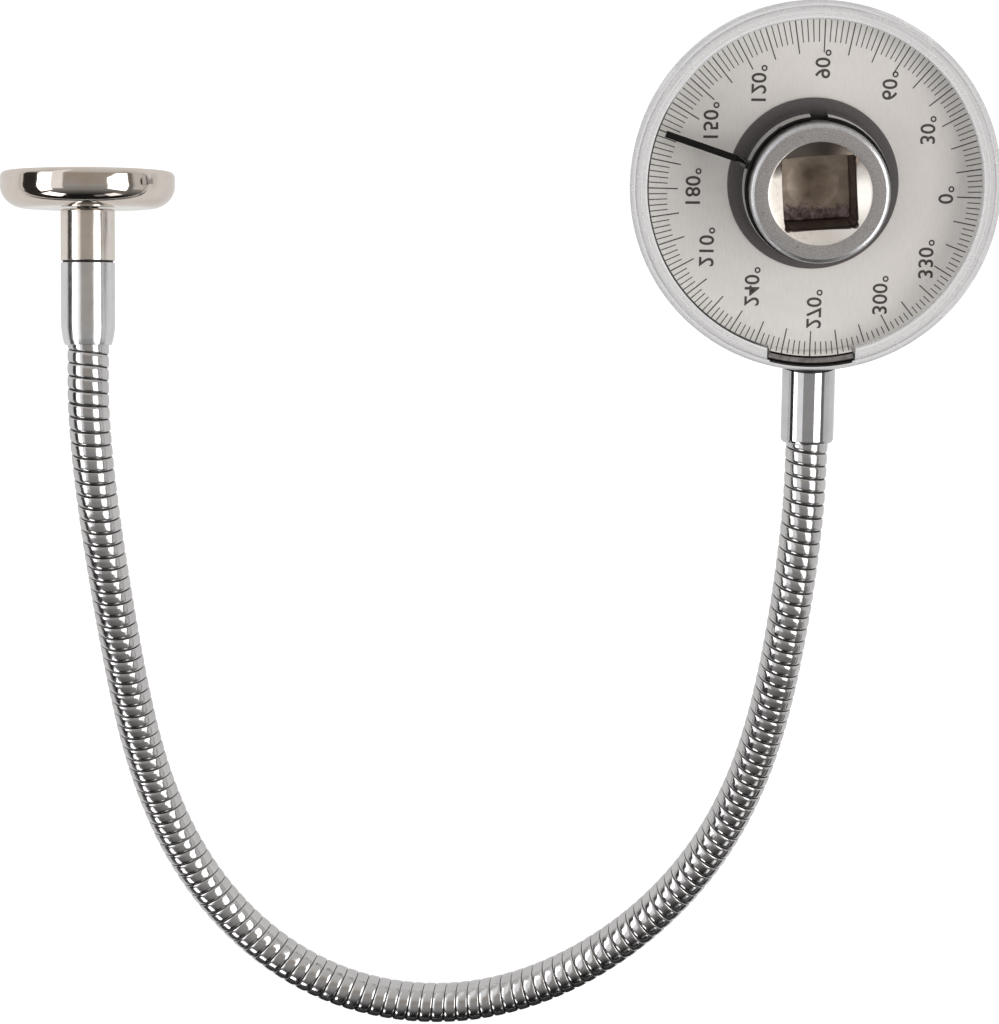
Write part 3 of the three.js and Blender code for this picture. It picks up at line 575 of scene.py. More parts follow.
# ---------- studio: pale floor and a soft room with two large soft boxes ----------
def make_studio():
    floor = bpy.data.meshes.new("floor")
    s = 6.0
    floor.from_pydata([(-s, -s, 0), (s, -s, 0), (s, s, 0), (-s, s, 0)], [], [(0, 1, 2, 3)])
    obj = bpy.data.objects.new("floor", floor)
    obj.location = (0, 0, -0.00008)
    bpy.context.scene.collection.objects.link(obj)
    look = Look("pale_floor")
    look.to("Base Color", look.ramp(look.noise(40.0, 3.0, 0.5), [(0.3, (0.41, 0.41, 0.41)), (0.7, (0.43, 0.43, 0.43))]))
    look.set(Roughness=0.9)
    look.bsdf.inputs["Emission Color"].default_value = (1.0, 1.0, 1.0, 1.0)
    # a little brighter to the eye than in the metal's reflections
    path = look.nt.nodes.new("ShaderNodeLightPath")
    seen = look.math("MAXIMUM", path.outputs["Is Camera Ray"], path.outputs["Is Transmission Ray"])
    look.to("Emission Strength", look.span(seen, 0.46, 0.8))
    look.bsdf.inputs["Specular IOR Level"].default_value = 0.0
    obj.data.materials.append(look.mat)

    # a dark card on the floor in front, outside the picture, which only the polished metal sees
    card = bpy.data.meshes.new("dark_card")
    card.from_pydata([(-0.36, -0.62, 0), (0.24, -0.62, 0), (0.24, -0.164, 0), (-0.36, -0.164, 0)], [], [(0, 1, 2, 3)])
    flag = bpy.data.objects.new("dark_card", card)
    flag.location = (0, 0, -0.00004)
    flag.visible_camera = False
    flag.visible_diffuse = False
    flag.visible_shadow = False
    bpy.context.scene.collection.objects.link(flag)
    dark = Look("dark_card")
    dark.to("Base Color", dark.ramp(dark.noise(60.0), [(0.3, (0.012, 0.012, 0.012)), (0.7, (0.018, 0.018, 0.018))]))
    dark.set(Roughness=0.9)
    card.materials.append(dark.mat)

    world = bpy.data.worlds.new("studio")
    bpy.context.scene.world = world
    world.use_nodes = True
    nt = world.node_tree
    nt.nodes.clear()
    link = nt.links.new

    def new(kind, **props):
        node = nt.nodes.new(kind)
        for k, v in props.items():
            setattr(node, k, v)
        return node

    def calc(op, a, b=None):
        node = new("ShaderNodeMath", operation=op)
        for socket, value in zip(node.inputs, (a, b)):
            if value is None:
                continue
            if isinstance(value, (int, float)):
                socket.default_value = value
            else:
                link(value, socket)
        return node.outputs["Value"]

    def band(value, lo, hi, soft):
        """1 between lo and hi, with soft edges."""
        up = new("ShaderNodeMapRange", interpolation_type="SMOOTHSTEP")
        up.inputs["From Min"].default_value = lo - soft
        up.inputs["From Max"].default_value = lo + soft
        link(value, up.inputs["Value"])
        down = new("ShaderNodeMapRange", interpolation_type="SMOOTHSTEP")
        down.inputs["From Min"].default_value = hi - soft
        down.inputs["From Max"].default_value = hi + soft
        down.inputs["To Min"].default_value = 1.0
        down.inputs["To Max"].default_value = 0.0
        link(value, down.inputs["Value"])
        return calc("MULTIPLY", up.outputs["Result"], down.outputs["Result"])

    coords = new("ShaderNodeTexCoord").outputs["Generated"]
    xyz = new("ShaderNodeSeparateXYZ")
    link(coords, xyz.inputs["Vector"])
    X, Y, Z = xyz.outputs["X"], xyz.outputs["Y"], xyz.outputs["Z"]
    deg = 180.0 / math.pi
    across = calc("MULTIPLY", calc("ARCTAN2", X, Z), deg)  # to the right of straight up
    along = calc("MULTIPLY", calc("ARCSINE", Y), deg)  # towards the top of the picture

    # the room: light behind, grey overhead, dark in front and along the horizon
    room = new("ShaderNodeValToRGB")
    e = room.color_ramp.elements
    stops = [
        (-90, 0.02, 0.02), (-60, 0.02, 0.02), (-45, 0.12, 0.03), (-30, 0.3, 0.03), (-12, 0.38, 0.03), (-6, 0.42, 0.03), (3, 0.4, 0.12), (18, 0.42, 0.18),
        (27, 0.62, 0.06), (50, 0.72, 0.03), (90, 0.78, 0.02),
    ]
    e[0].position, e[0].color = 0.0, (stops[0][1],) * 3 + (1,)
    e[1].position, e[1].color = 1.0, (stops[-1][1],) * 3 + (1,)
    for a, v, tan in stops[1:-1]:
        s = e.new((a + 90) / 180)
        s.color = (v, v * (1 - 0.5 * tan), v * (1 - tan), 1)
    share = calc("DIVIDE", calc("ADD", along, 90.0), 180.0)
    link(share, room.inputs["Fac"])

    def over(below, factor, color):
        node = new("ShaderNodeMix", data_type="RGBA")
        link(factor, node.inputs["Factor"])
        link(below, node.inputs[6])
        node.inputs[7].default_value = (*color, 1)
        return node.outputs[2]

    side = calc("ABSOLUTE", across)
    low = band(along, -90.0, 24.0, 8.0)
    base = over(room.outputs["Color"], calc("MULTIPLY", band(across, -92.0, -52.0, 2.0), low), (0.035, 0.034, 0.034))
    base = over(base, calc("MULTIPLY", band(across, -52.0, -26.0, 1.5), band(along, -24.0, 70.0, 4.0)), (1.1, 1.1, 1.12))
    base = over(base, calc("MULTIPLY", band(across, 50.0, 70.0, 3.0), low), (0.2, 0.195, 0.19))
    base = over(base, calc("MULTIPLY", band(across, 70.0, 120.0, 4.0), band(along, -26.0, 90.0, 3.0)), (0.7, 0.7, 0.7))
    base = over(base, calc("MULTIPLY", band(side, 87.0, 120.0, 1.0), band(along, -26.0, 90.0, 3.0)), (0.85, 0.85, 0.85))
    base = over(base, band(along, -100.0, -58.0, 4.0), (0.015, 0.015, 0.015))

    # small lights in front, to the left and to the right
    high = calc("MULTIPLY", calc("ARCSINE", Z), deg)
    turn = calc("MULTIPLY", calc("ARCTAN2", X, calc("MULTIPLY", Y, -1.0)), deg)  # round the horizon, from the front
    parts = [
        (calc("MULTIPLY", band(turn, -43.0, -21.0, 2.0), band(high, 15.0, 30.0, 2.0)), 4.0),
        (calc("MULTIPLY", band(turn, 9.0, 19.0, 2.0), band(high, 17.0, 26.0, 2.0)), 0.3),
        (calc("MULTIPLY", band(turn, 21.0, 35.0, 2.0), band(high, 14.0, 27.0, 2.0)), 1.5),
    ]
    boxes = 0.0
    for mask, power in parts:
        boxes = calc("ADD", calc("MULTIPLY", mask, power), boxes)
    total = new("ShaderNodeMix", data_type="RGBA", blend_type="ADD")
    total.inputs["Factor"].default_value = 1.0
    link(base, total.inputs[6])
    lit = new("ShaderNodeCombineColor")
    for i in range(3):
        link(boxes, lit.inputs[i])
    link(lit.outputs["Color"], total.inputs[7])

    shown = new("ShaderNodeBackground")
    shown.inputs["Color"].default_value = (1.0, 1.0, 1.0, 1)
    light = new("ShaderNodeBackground")
    link(total.outputs[2], light.inputs["Color"])
    path = new("ShaderNodeLightPath")
    both = new("ShaderNodeMixShader")
    link(path.outputs["Is Camera Ray"], both.inputs["Fac"])
    link(light.outputs["Background"], both.inputs[1])
    link(shown.outputs["Background"], both.inputs[2])
    out = new("ShaderNodeOutputWorld")
    link(both.outputs["Shader"], out.inputs["Surface"])
    world.cycles.sampling_method = "MANUAL"
    world.cycles.sample_map_resolution = 1024

    # a soft box on each side: its lower and upper edge as (x, z), its ends along y, and its brightness
    for name, low_edge, high_edge, y0, y1, shine in (
        ("soft_box_right", (304, 258), (269, 629), -346, 150, 3.2),
        ("soft_box_left", (-482, 208), (-461, 385), -285, 200, 3.2),
    ):
        a, b = Vector((low_edge[0], 0, low_edge[1])) * MM, Vector((high_edge[0], 0, high_edge[1])) * MM
        data = bpy.data.lights.new(name, "AREA")
        data.shape = "RECTANGLE"
        data.size, data.size_y = (b - a).length, (y1 - y0) * MM
        data.energy = shine * math.pi * data.size * data.size_y
        lamp = bpy.data.objects.new(name, data)
        bpy.context.scene.collection.objects.link(lamp)
        up = (b - a).normalized()
        side_way = Vector((0, 1, 0))
        back = up.cross(side_way)
        if back.x * low_edge[0] < 0:  # the light shines along -Z, towards the object
            side_way, back = -side_way, -back
        turn_to = Matrix((up, side_way, back)).transposed().to_4x4()
        lamp.matrix_world = Matrix.Translation((a + b) / 2 + Vector((0, (y0 + y1) / 2, 0)) * MM) @ turn_to
        lamp.visible_camera = False

    view = bpy.context.scene.view_settings
    view.view_transform = "Standard"
    view.look = "None"
    view.exposure = 0.0
    view.gamma = 1.0


make_studio()


# ---------- drive body ----------
def square_radius(t, half, ear=None, corner=None):
    """Distance from the axis to a square's wall at angle t, with relieved or turned corners."""
    a = (t - SQUARE_ANGLE) % (math.pi / 2)
    a = a if a <= math.pi / 4 else math.pi / 2 - a
    r = half / math.cos(a)
    if ear:
        # corners rounded off, with a small round relief in each
        soft = 1.9
        c = half - soft
        if half * math.tan(a) > c:
            b = c * (math.cos(a) + math.sin(a))
            off = c * abs(math.cos(a) - math.sin(a))
            r = b + math.sqrt(soft * soft - off * off)
        c = 8.78 - ear
        d = math.pi / 4 - a
        under = ear * ear - (c * math.sin(d)) ** 2
        if under > 0:
            r = max(r, c * math.cos(d) + math.sqrt(under))
    if corner:
        r = min(r, corner)
    return r


def make_drive_body():
    # angles, closer together at the corners of both squares
    angles = set()
    for q in range(4):
        mid = SQUARE_ANGLE + math.pi / 4 + q * math.pi / 2
        for k in range(-44, 45):
            angles.add(round((mid + math.radians(k * 45 / 44 * (0.35 + 0.65 * abs(k) / 44))) % (2 * math.pi), 6))
        for d in (4.3, 4.6, 4.84, 4.95, 5.1, 5.3, 5.6):
            for s in (-1, 1):
                angles.add(round((mid + s * math.radians(d)) % (2 * math.pi), 6))
        flat = math.acos(MALE_HALF / MALE_CORNER_R)
        for s in (-1, 1):
            angles.add(round((SQUARE_ANGLE + q * math.pi / 2 + s * flat) % (2 * math.pi), 6))
    angles = sorted(angles)
    angles = [a for i, a in enumerate(angles) if i == 0 or a - angles[i - 1] > 1e-4]
    steps = len(angles)
    female = np.array([square_radius(t, FEMALE_HALF, ear=EAR_R) for t in angles])
    male = np.array([square_radius(t, MALE_HALF, corner=MALE_CORNER_R) for t in angles])
    one = np.ones(steps)

    cone = lambda r: TOP_Z - (MOUTH_R - r) * (MOUTH_DEPTH / (MOUTH_R - 6.3))
    edge_z = np.minimum(cone(np.minimum(female, MOUTH_R)), TOP_Z)
    mouth = np.maximum(MOUTH_R, female + 0.05)
    open_corner = female >= MOUTH_R - 0.02

    rows = []  # each row: radius and height for every angle

    def row(r, z):
        rows.append((np.broadcast_to(np.asarray(r, float), (steps,)).copy(), np.broadcast_to(np.asarray(z, float), (steps,)).copy()))

    # from the middle of the female square's floor, up its wall, over the face and down the outside
    row(0.02, FEMALE_FLOOR_Z - 1.4)
    row(2.2, FEMALE_FLOOR_Z - 0.72)
    row(4.45, FEMALE_FLOOR_Z - 0.03)
    row(4.75, FEMALE_FLOOR_Z)
    row(female - 0.5, FEMALE_FLOOR_Z)
    row(female - 0.15, FEMALE_FLOOR_Z + 0.04)
    row(female - 0.04, FEMALE_FLOOR_Z + 0.14)
    row(female, FEMALE_FLOOR_Z + 0.4)
    for z in (31.5, 34.0, 36.5, 39.0, 41.5):
        row(female, z)
    top = np.where(open_corner, TOP_Z, edge_z)
    row(female, top - 0.9)
    row(female, top - 0.16)
    row(female + 0.015, top - 0.07)
    slope = MOUTH_DEPTH / (MOUTH_R - 6.3)
    lift = lambda d: np.where(open_corner, 0.0, d * slope)
    reach = np.maximum(mouth - female, 0.06)
    row(female + np.minimum(0.06, reach * 0.2), top - 0.01 + lift(np.minimum(0.06, reach * 0.2)))
    for f in (0.33, 0.6, 0.85):
        row(female + reach * f, np.where(open_corner, TOP_Z - 0.002, top + lift(reach * f)))
    row(mouth - 0.03, TOP_Z - 0.025)
    row(mouth + 0.02, TOP_Z - 0.006)
    row(mouth + 0.08, TOP_Z)
    for r in (10.2, 11.0):
        row(np.maximum(r, mouth + 0.2), TOP_Z)
    outline = rounded([
        (11.2, TOP_Z), (11.47, TOP_Z, 0.12), (12.02, 45.78, 0.25), (HEAD_R, 45.2, 0.25), (HEAD_R, 40.3, 0.12), (11.75, 40.3, 0.05),
        (11.75, 32.2, 0.05), (HEAD_R, 32.2, 0.12), (HEAD_R, 30.4, 0.1), (11.97, 30.1, 0.1), (NECK_R, 30.1, 0.1), (NECK_R, 22.7, 0.06),
        (10.2, 22.7, 0.06), (10.2, 21.6, 0.06), (NECK_R, 21.6, 0.06), (NECK_R, 18.6, 0.2), (10.7, 18.3, 0.3), (9.2, 16.4, 0.4), (8.9, 15.8),
    ], 3)[1:-1]
    for r, z in outline:
        row(r, z)
    neck = np.maximum(male + 0.12, 8.1)
    row(np.maximum(neck + 0.35, 8.7), 15.5)
    row(np.maximum(neck + 0.1, 8.3), 15.0)
    row(neck, 14.82)
    row(np.minimum(neck, male + 0.3), 14.8)
    row(male + 0.06, 14.74)
    row(male, 14.55)
    for z in (12.5, 10.0, 7.5, 5.0, 3.4):
        row(male, z)
    # the end: flats run down to the face, turned corners taper in
    for r, z in ((8.45, 2.9), (8.1, 2.35), (7.4, 1.5), (6.9, 0.95), (6.45, 0.5)):
        row(np.minimum(male, r), z)
    row(np.minimum(male - 0.06, 6.1), 0.22)
    row(np.minimum(male - 0.2, 5.9), 0.06)
    row(5.6, 0.0)
    row(3.0, 0.0)
    row(0.02, 0.0)

    cs, sn = np.cos(angles), np.sin(angles)
    verts = np.concatenate([np.stack([r * cs, r * sn, z], 1) for r, z in rows])
    faces = []
    for j in range(len(rows) - 1):
        for k in range(steps):
            k2 = (k + 1) % steps
            faces.append([j * steps + k, j * steps + k2, (j + 1) * steps + k2, (j + 1) * steps + k])
    faces.append([k for k in range(steps)][::-1])
    faces.append([(len(rows) - 1) * steps + k for k in range(steps)])
    body = make_mesh("drive_spindle", verts, faces, 30.0)
    d = np.array([math.cos(SQUARE_ANGLE), math.sin(SQUARE_ANGLE), 0.0])
    bore = lathe("bore", [(0, 0), (2.65, 0), (2.65, 10.4), (0, 10.4)], 64, closed=False, place=frame_along(np.array([0, 0, 8.0]) - 2.6 * d, d))
    carve(body, bore, sharp_deg=30.0)
    # staked lip that keeps the ball in
    lip = lathe("detent_lip", [(2.62, 6.28, 0.05), (2.62, 5.7), (2.35, 5.95, 0.08), (2.3, 6.2, 0.08), (2.42, 6.33, 0.05)], 64,
                place=frame_along(np.array([0, 0, 8.0]), d))
    return body, lip


drive, detent_lip = make_drive_body()
for piece in (drive, detent_lip):
    dress(piece, STEEL)
    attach(piece, "spindle")
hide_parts("drive_body")

_d = np.array([math.cos(SQUARE_ANGLE), math.sin(SQUARE_ANGLE), 0.0])
arc = [(2.5 * math.sin(math.pi * k / 48), -2.5 * math.cos(math.pi * k / 48)) for k in range(49)]
ball = lathe("ball", arc, 96, closed=False, place=frame_along(np.array([0, 0, 8.0]) + 4.6 * _d, _d), sharp_deg=80)
dress(ball, POLISHED)
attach(ball, "detent")
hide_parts("detent_ball")


# ---------- pointer ----------
def make_pointer():
    gap = math.asin(1.5 / 12.5)
    ring = lathe("pointer_ring", [
        (11.87, 32.35, 0.06), (13.5, 32.35, 0.06), (12.86, 40.15, 0.12), (11.87, 40.15, 0.1),
    ], 200, n=5, a0=math.pi / 2 + gap, a1=math.pi / 2 - gap + 2 * math.pi)
    t = math.radians(161.5)
    turn = np.eye(4)
    turn[:2, :2] = [[math.cos(t), -math.sin(t)], [math.sin(t), math.cos(t)]]
    needle = prism("needle", [(12.7, -0.6), (27.9, -0.6, 0.12), (27.9, 0.6, 0.12), (12.7, 0.6)], 32.3, 33.0, turn)
    bevel(needle, 0.08, 2)
    stand = turn @ np.array([[1, 0, 0, 0], [0, 0, -1, 0.6], [0, 1, 0, 0], [0, 0, 0, 1]], float)
    rib = prism("rib", [(12.15, 32.4), (14.9, 32.4, 0.1), (13.95, 35.7, 0.5), (13.4, 40.0, 0.2), (12.15, 40.0)], 0.0, 1.2, stand)
    bevel(rib, 0.08, 2)
    carve(needle, rib, "UNION", 30.0)
    carve(ring, needle, "UNION", 30.0)
    return ring


pointer = make_pointer()
dress(pointer, BLACK)
pointer.data.materials.append(GLOSS.mat)
for _p in pointer.data.polygons:
    _r = math.hypot(_p.center.x, _p.center.y) / MM
    if _r < 13.6 and _r > 13.35 - (_p.center.z / MM - 32.35) * 0.0833 and abs(_p.normal.z) < 0.3 and _p.normal.x * _p.center.x + _p.normal.y * _p.center.y > 0.009:
        _p.material_index = 1
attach(pointer, "pointer")
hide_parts("pointer")


# ---------- rings and washers ----------
def simple(name, outline, look, slot, body, node, segments=160, **kw):
    obj = lathe(name, outline, segments, **kw)
    dress(obj, look)
    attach(obj, body)
    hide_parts(node)
    return obj


simple("washer_top", [(11.2, 29.3, 0.08), (15.25, 29.3, 0.08), (15.25, 30.0, 0.15), (11.2, 30.0, 0.1)], FIBRE, "dark_fibre", "housing", "friction_washer")
simple("bush", [(11.1, 24.0, 0.15), (14.4, 24.0, 0.2), (14.4, 24.85, 0.15), (12.65, 24.85, 0.1), (12.65, 29.15, 0.15), (11.1, 29.15, 0.15)], NYLON, "black_nylon", "housing", "bearing_bush")
simple("washer_low", [(11.15, 23.35, 0.06), (14.4, 23.35, 0.1), (14.4, 23.9, 0.1), (11.15, 23.9, 0.06)], SPRING, "spring_steel", "housing", "lower_washer")


def make_wave():
    verts, faces, seg = [], [], 144
    prof = rounded([(11.15, -0.1, 0.04), (13.6, -0.1, 0.04), (13.6, 0.1, 0.04), (11.15, 0.1, 0.04)], 2)
    m = len(prof)
    for k in range(seg):
        a = 2 * math.pi * k / seg
        for r, z in prof:
            verts.append((r * math.cos(a), r * math.sin(a), z + 23.05 + 0.1 * math.cos(3 * a)))
    for k in range(seg):
        for j in range(m):
            a, b = k * m, ((k + 1) % seg) * m
            faces.append([a + j, b + j, b + (j + 1) % m, a + (j + 1) % m])
    return make_mesh("washer_wave", verts, faces)


wave = make_wave()
dress(wave, SPRING)
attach(wave, "housing")
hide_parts("wave_washer")

_gap = math.asin(2.75 / 11.75)
_mid = SQUARE_ANGLE + math.pi / 4
snap = lathe("snap_ring", [(10.3, 21.65, 0.08), (13.2, 21.65, 0.12), (13.2, 22.65, 0.12), (10.3, 22.65, 0.08)], 128, a0=_mid + _gap, a1=_mid - _gap + 2 * math.pi)
dress(snap, SPRING)
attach(snap, "spindle")
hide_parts("retaining_ring")
dress(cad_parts["detent_spring"], SPRING)


# ---------- housing, bezel and dial ----------
def make_housing():
    outline = [
        (12.75, 24.9, 0.15), (16.0, 24.9, 0.3), (16.4, 26.2, 0.3), (22.0, 26.2), (22.2, 26.32, 0.1), (22.6, 26.32, 0.1), (22.8, 26.2), (27.6, 26.2), (27.8, 26.32, 0.1),
        (28.2, 26.32, 0.1), (28.4, 26.2), (31.5, 26.2, 0.4), (32.2, 26.95, 0.5), (32.42, 28.7, 0.8), (32.52, 30.4),
        (32.46, 30.5), (32.53, 30.6), (32.68, 33.4), (32.62, 33.5), (32.69, 33.6), (32.8, 35.6, 0.2), (32.45, 36.1, 0.2),
        (31.75, 36.1, 0.05), (31.75, 28.6, 0.1), (12.75, 28.6, 0.15),
    ]
    cup = lathe("housing_cup", outline, 224, n=3)
    hole = lathe("hole", [(0, 0), (2.2, 0), (2.2, 6), (0, 6)], 48, closed=False, place=frame_along((0, -30, ARM_Z), (0, -1, 0)))
    carve(cup, hole)
    return cup


def make_bezel():
    outline = [
        (LIP_R, 35.0, 0.1), (30.9, 35.0, 0.15), (30.9, 29.3, 0.08), (31.72, 29.3, 0.08), (31.72, 36.14, 0.06), (31.4, 36.4, 0.15),
        (31.0, 36.4), (30.93, 36.33), (30.86, 36.4), (30.5, 36.4), (30.43, 36.33), (30.36, 36.4), (29.75, 36.4, 0.12), (LIP_R, 36.1, 0.12),
    ]
    ring = lathe("bezel", outline, 224, n=3)
    notch = prism("notch", [(-7.85, -33.5), (7.85, -33.5), (7.85, -27.0), (-7.85, -27.0)], 28.0, 40.0)
    carve(ring, notch)
    return ring


cup = make_housing()
dress(cup, CLEAR)
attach(cup, "housing")
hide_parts("housing")
bezel = make_bezel()
dress(bezel, CLEAR_LIP)
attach(bezel, "housing")
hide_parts("bezel_ring")
dress(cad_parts["dial_plate"], DIAL)

PRINT_X, PRINT_Y, PRINT_TURN = 0.89, -1.73, -1.17
LABELS = [
    ("0", 23.82, -1.86), ("30", 20.21, 9.68), ("60", 13.21, 17.48), ("90", 1.24, 21.16), ("120", -10.00, 17.70), ("150", -18.36, 11.07),
    ("180", -21.31, -0.70), ("210", -18.66, -11.61), ("240", -10.36, -18.65), ("270", 0.87, -22.61), ("300", 12.63, -19.95), ("330", 20.65, -13.37),
]


def make_ticks():
    verts, faces = [], []
    z0, z1 = DIAL_Z + 0.002, DIAL_Z + 0.022
    for i in range(180):
        a = math.radians(2 * i + PRINT_TURN)
        long = i % 5 == 0
        r0 = 24.9 if long else 26.8
        w = 0.105 if long else 0.085
        d = np.array([math.cos(a), math.sin(a)])
        n = np.array([-d[1], d[0]])
        p = np.array([PRINT_X, PRINT_Y])
        # out to the edge of the lip
        b = p @ d
        r1 = -b + math.sqrt(b * b - (p @ p - 30.2 * 30.2))
        r1 = min(r1, 31.2)
        if r1 <= r0 + 0.1:
            continue
        corners = [p + d * r0 + n * w, p + d * r0 - n * w, p + d * r1 - n * w, p + d * r1 + n * w]
        k = len(verts)
        verts += [(c[0], c[1], z0) for c in corners] + [(c[0], c[1], z1) for c in corners]
        faces += [[k + 3, k + 2, k + 1, k], [k + 4, k + 5, k + 6, k + 7]]
        faces += [[k + j, k + (j + 1) % 4, k + 4 + (j + 1) % 4, k + 4 + j] for j in range(4)]
    return make_mesh("dial_ticks", verts, faces, 20.0)


def glyphs(text, offset=0.0):
    """Vertices and faces of a word in Blender's own font, flat in x and y, a little thick."""
    curve = bpy.data.curves.new("word", "FONT")
    curve.body = text
    curve.size = 1.0
    curve.resolution_u = 6
    curve.extrude = 0.01
    curve.offset = offset
    curve.space_character = 1.02
    obj = bpy.data.objects.new("word", curve)
    bpy.context.scene.collection.objects.link(obj)
    bpy.context.view_layer.update()
    mesh = bpy.data.meshes.new_from_object(obj.evaluated_get(bpy.context.evaluated_depsgraph_get()))
    bm = bmesh.new()
    bm.from_mesh(mesh)
    bmesh.ops.remove_doubles(bm, verts=bm.verts, dist=1e-5)
    bm.verts.index_update()
    co = np.array([v.co[:] for v in bm.verts], float)
    faces = [[v.index for v in f.verts] for f in bm.faces]
    bm.free()
    bpy.data.objects.remove(obj)
    bpy.data.curves.remove(curve)
    bpy.data.meshes.remove(mesh)
    return co, faces


def make_figures():
    weight = 0.012
    zero, _ = glyphs("0", weight)
    high = zero[:, 1].max() - zero[:, 1].min()
    scale_v = 2.67 / high
    wide, _ = glyphs("180°", weight)
    scale_u = 6.4 / (wide[:, 0].max() - wide[:, 0].min())
    base = zero[:, 1].min()
    verts, faces = [], []
    for text, cx, cy in LABELS:
        co, fs = glyphs(text + "°", weight)
        u = (co[:, 0] - (co[:, 0].max() + co[:, 0].min()) / 2) * scale_u
        v = (co[:, 1] - base) * scale_v - 1.335
        w = np.where(co[:, 2] > 0, DIAL_Z + 0.022, DIAL_Z + 0.002)
        k = len(verts)
        verts += list(zip((cx + v).tolist(), (cy + u).tolist(), w.tolist()))
        faces += [[k + i for i in f] for f in fs]
    return make_mesh("dial_figures", verts, faces, 20.0)


ticks, figures = make_ticks(), make_figures()
for piece in (ticks, figures):
    dress(piece, INK)
    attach(piece, "housing")


# ---------- where the arm meets the housing ----------
def make_backing():
    half = math.asin(7.55 / 31.0)
    obj = lathe("backing_plate", [
        (30.1, 29.3, 0.1), (31.7, 29.3, 0.1), (31.7, 36.1, 0.08), (31.4, 36.1, 0.08), (31.36, 35.7, 0.08), (30.44, 35.7, 0.08), (30.4, 36.1, 0.08), (30.1, 36.1, 0.08),
    ], 48, n=3, a0=-math.pi / 2 - half, a1=-math.pi / 2 + half)
    # the stud's head is finished flush with the inner face, so the hole shows only from behind
    hole = lathe("hole", [(0, 0), (2.1, 0), (2.1, 6), (0, 6)], 48, closed=False, place=frame_along((0, -30.7, ARM_Z), (0, -1, 0)))
    carve(obj, hole)
    return obj


backing = make_backing()
dress(backing, STRIP)
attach(backing, "housing")
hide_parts("arm_backing_plate")

ARM_FRAME = frame_along((0, 0, ARM_Z), (0, -1, 0))
stud = lathe("stud", [(0, 30.75), (2.0, 30.75, 0.25), (2.0, 37.4, 0.3), (0, 37.4)], 48, closed=False, place=ARM_FRAME)
dress(stud, SPRING)
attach(stud, "housing")
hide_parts("arm_stud")


def make_saddle():
    obj = lathe("saddle_washer", [(2.25, 31.0), (4.3, 31.0), (4.3, 34.5), (2.25, 34.5)], 96, place=ARM_FRAME)
    wall = lathe("wall", [(32.86, 20), (33.08, 20), (33.08, 44), (32.86, 44)], 256)
    carve(obj, wall, "INTERSECT")
    return obj


saddle = make_saddle()
dress(saddle, NYLON)
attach(saddle, "housing")
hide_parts("arm_washer")

FERRULE_FRAME = frame_along((0, -32.2, ARM_Z), (0, -1, 0))
ferrule = lathe("ferrule_dial", [
    (2.15, 0), (4.75, 0), (4.75, 13.4, 0.3), (4.6, 13.85, 0.15), (4.35, 14.05, 0.08), (3.95, 14.05, 0.05), (3.95, 5.2), (2.15, 5.2),
], 128, n=5, place=FERRULE_FRAME)
carve(ferrule, lathe("wall", [(0, 20), (33.13, 20), (33.13, 44), (0, 44)], 256, closed=False))
dress(ferrule, CHROME)
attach(ferrule, "housing")
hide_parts("dial_ferrule")


# ---------- gooseneck: a flat band wound round a core painted near black as shade, bent along the route ---
def centreline():
    """Points every 0.05 mm or so along the route, carried on straight into both ferrules, with arc length."""
    P = np.array(ROUTE, float)
    ext = np.vstack([2 * P[0] - P[1], P, 2 * P[-1] - P[-2]])
    pts = []
    for i in range(len(P) - 1):
        p0, p1, p2, p3 = ext[i], ext[i + 1], ext[i + 2], ext[i + 3]
        t = np.linspace(0, 1, 200, endpoint=False)[:, None]
        m1, m2 = 0.5 * (p2 - p0), 0.5 * (p3 - p1)
        pts.append((2 * t**3 - 3 * t**2 + 1) * p1 + (t**3 - 2 * t**2 + t) * m1 + (-2 * t**3 + 3 * t**2) * p2 + (t**3 - t**2) * m2)
    pts = np.vstack(pts + [P[-1:]])
    s = np.r_[0, np.cumsum(np.linalg.norm(np.diff(pts, axis=0), axis=1))]
    length = s[-1]
    head = np.linspace(-9.0, 0, 181)[:-1]
    tail = np.linspace(0, 9.0, 181)[1:]
    before = P[0] + np.outer(head, [0, -1, 0])
    after = P[-1] + np.outer(tail, MAGNET_DIR)
    return np.vstack([before, pts, after]), np.r_[head, s, length + tail], length


LINE, ARC, HOSE_LENGTH = centreline()
TAN = np.gradient(LINE, ARC, axis=0)
TAN /= np.linalg.norm(TAN, axis=1)[:, None]
NOR = np.zeros_like(TAN)
NOR[0] = (0, 0, 1)
for _i in range(1, len(TAN)):
    _n = NOR[_i - 1] - TAN[_i] * (NOR[_i - 1] @ TAN[_i])
    NOR[_i] = _n / np.linalg.norm(_n)
BIN = np.cross(NOR, TAN)


def at(values, s):
    return np.stack([np.interp(s, ARC, values[:, k]) for k in range(3)], 1)


PITCH = HOSE_LENGTH / HOSE_TURNS


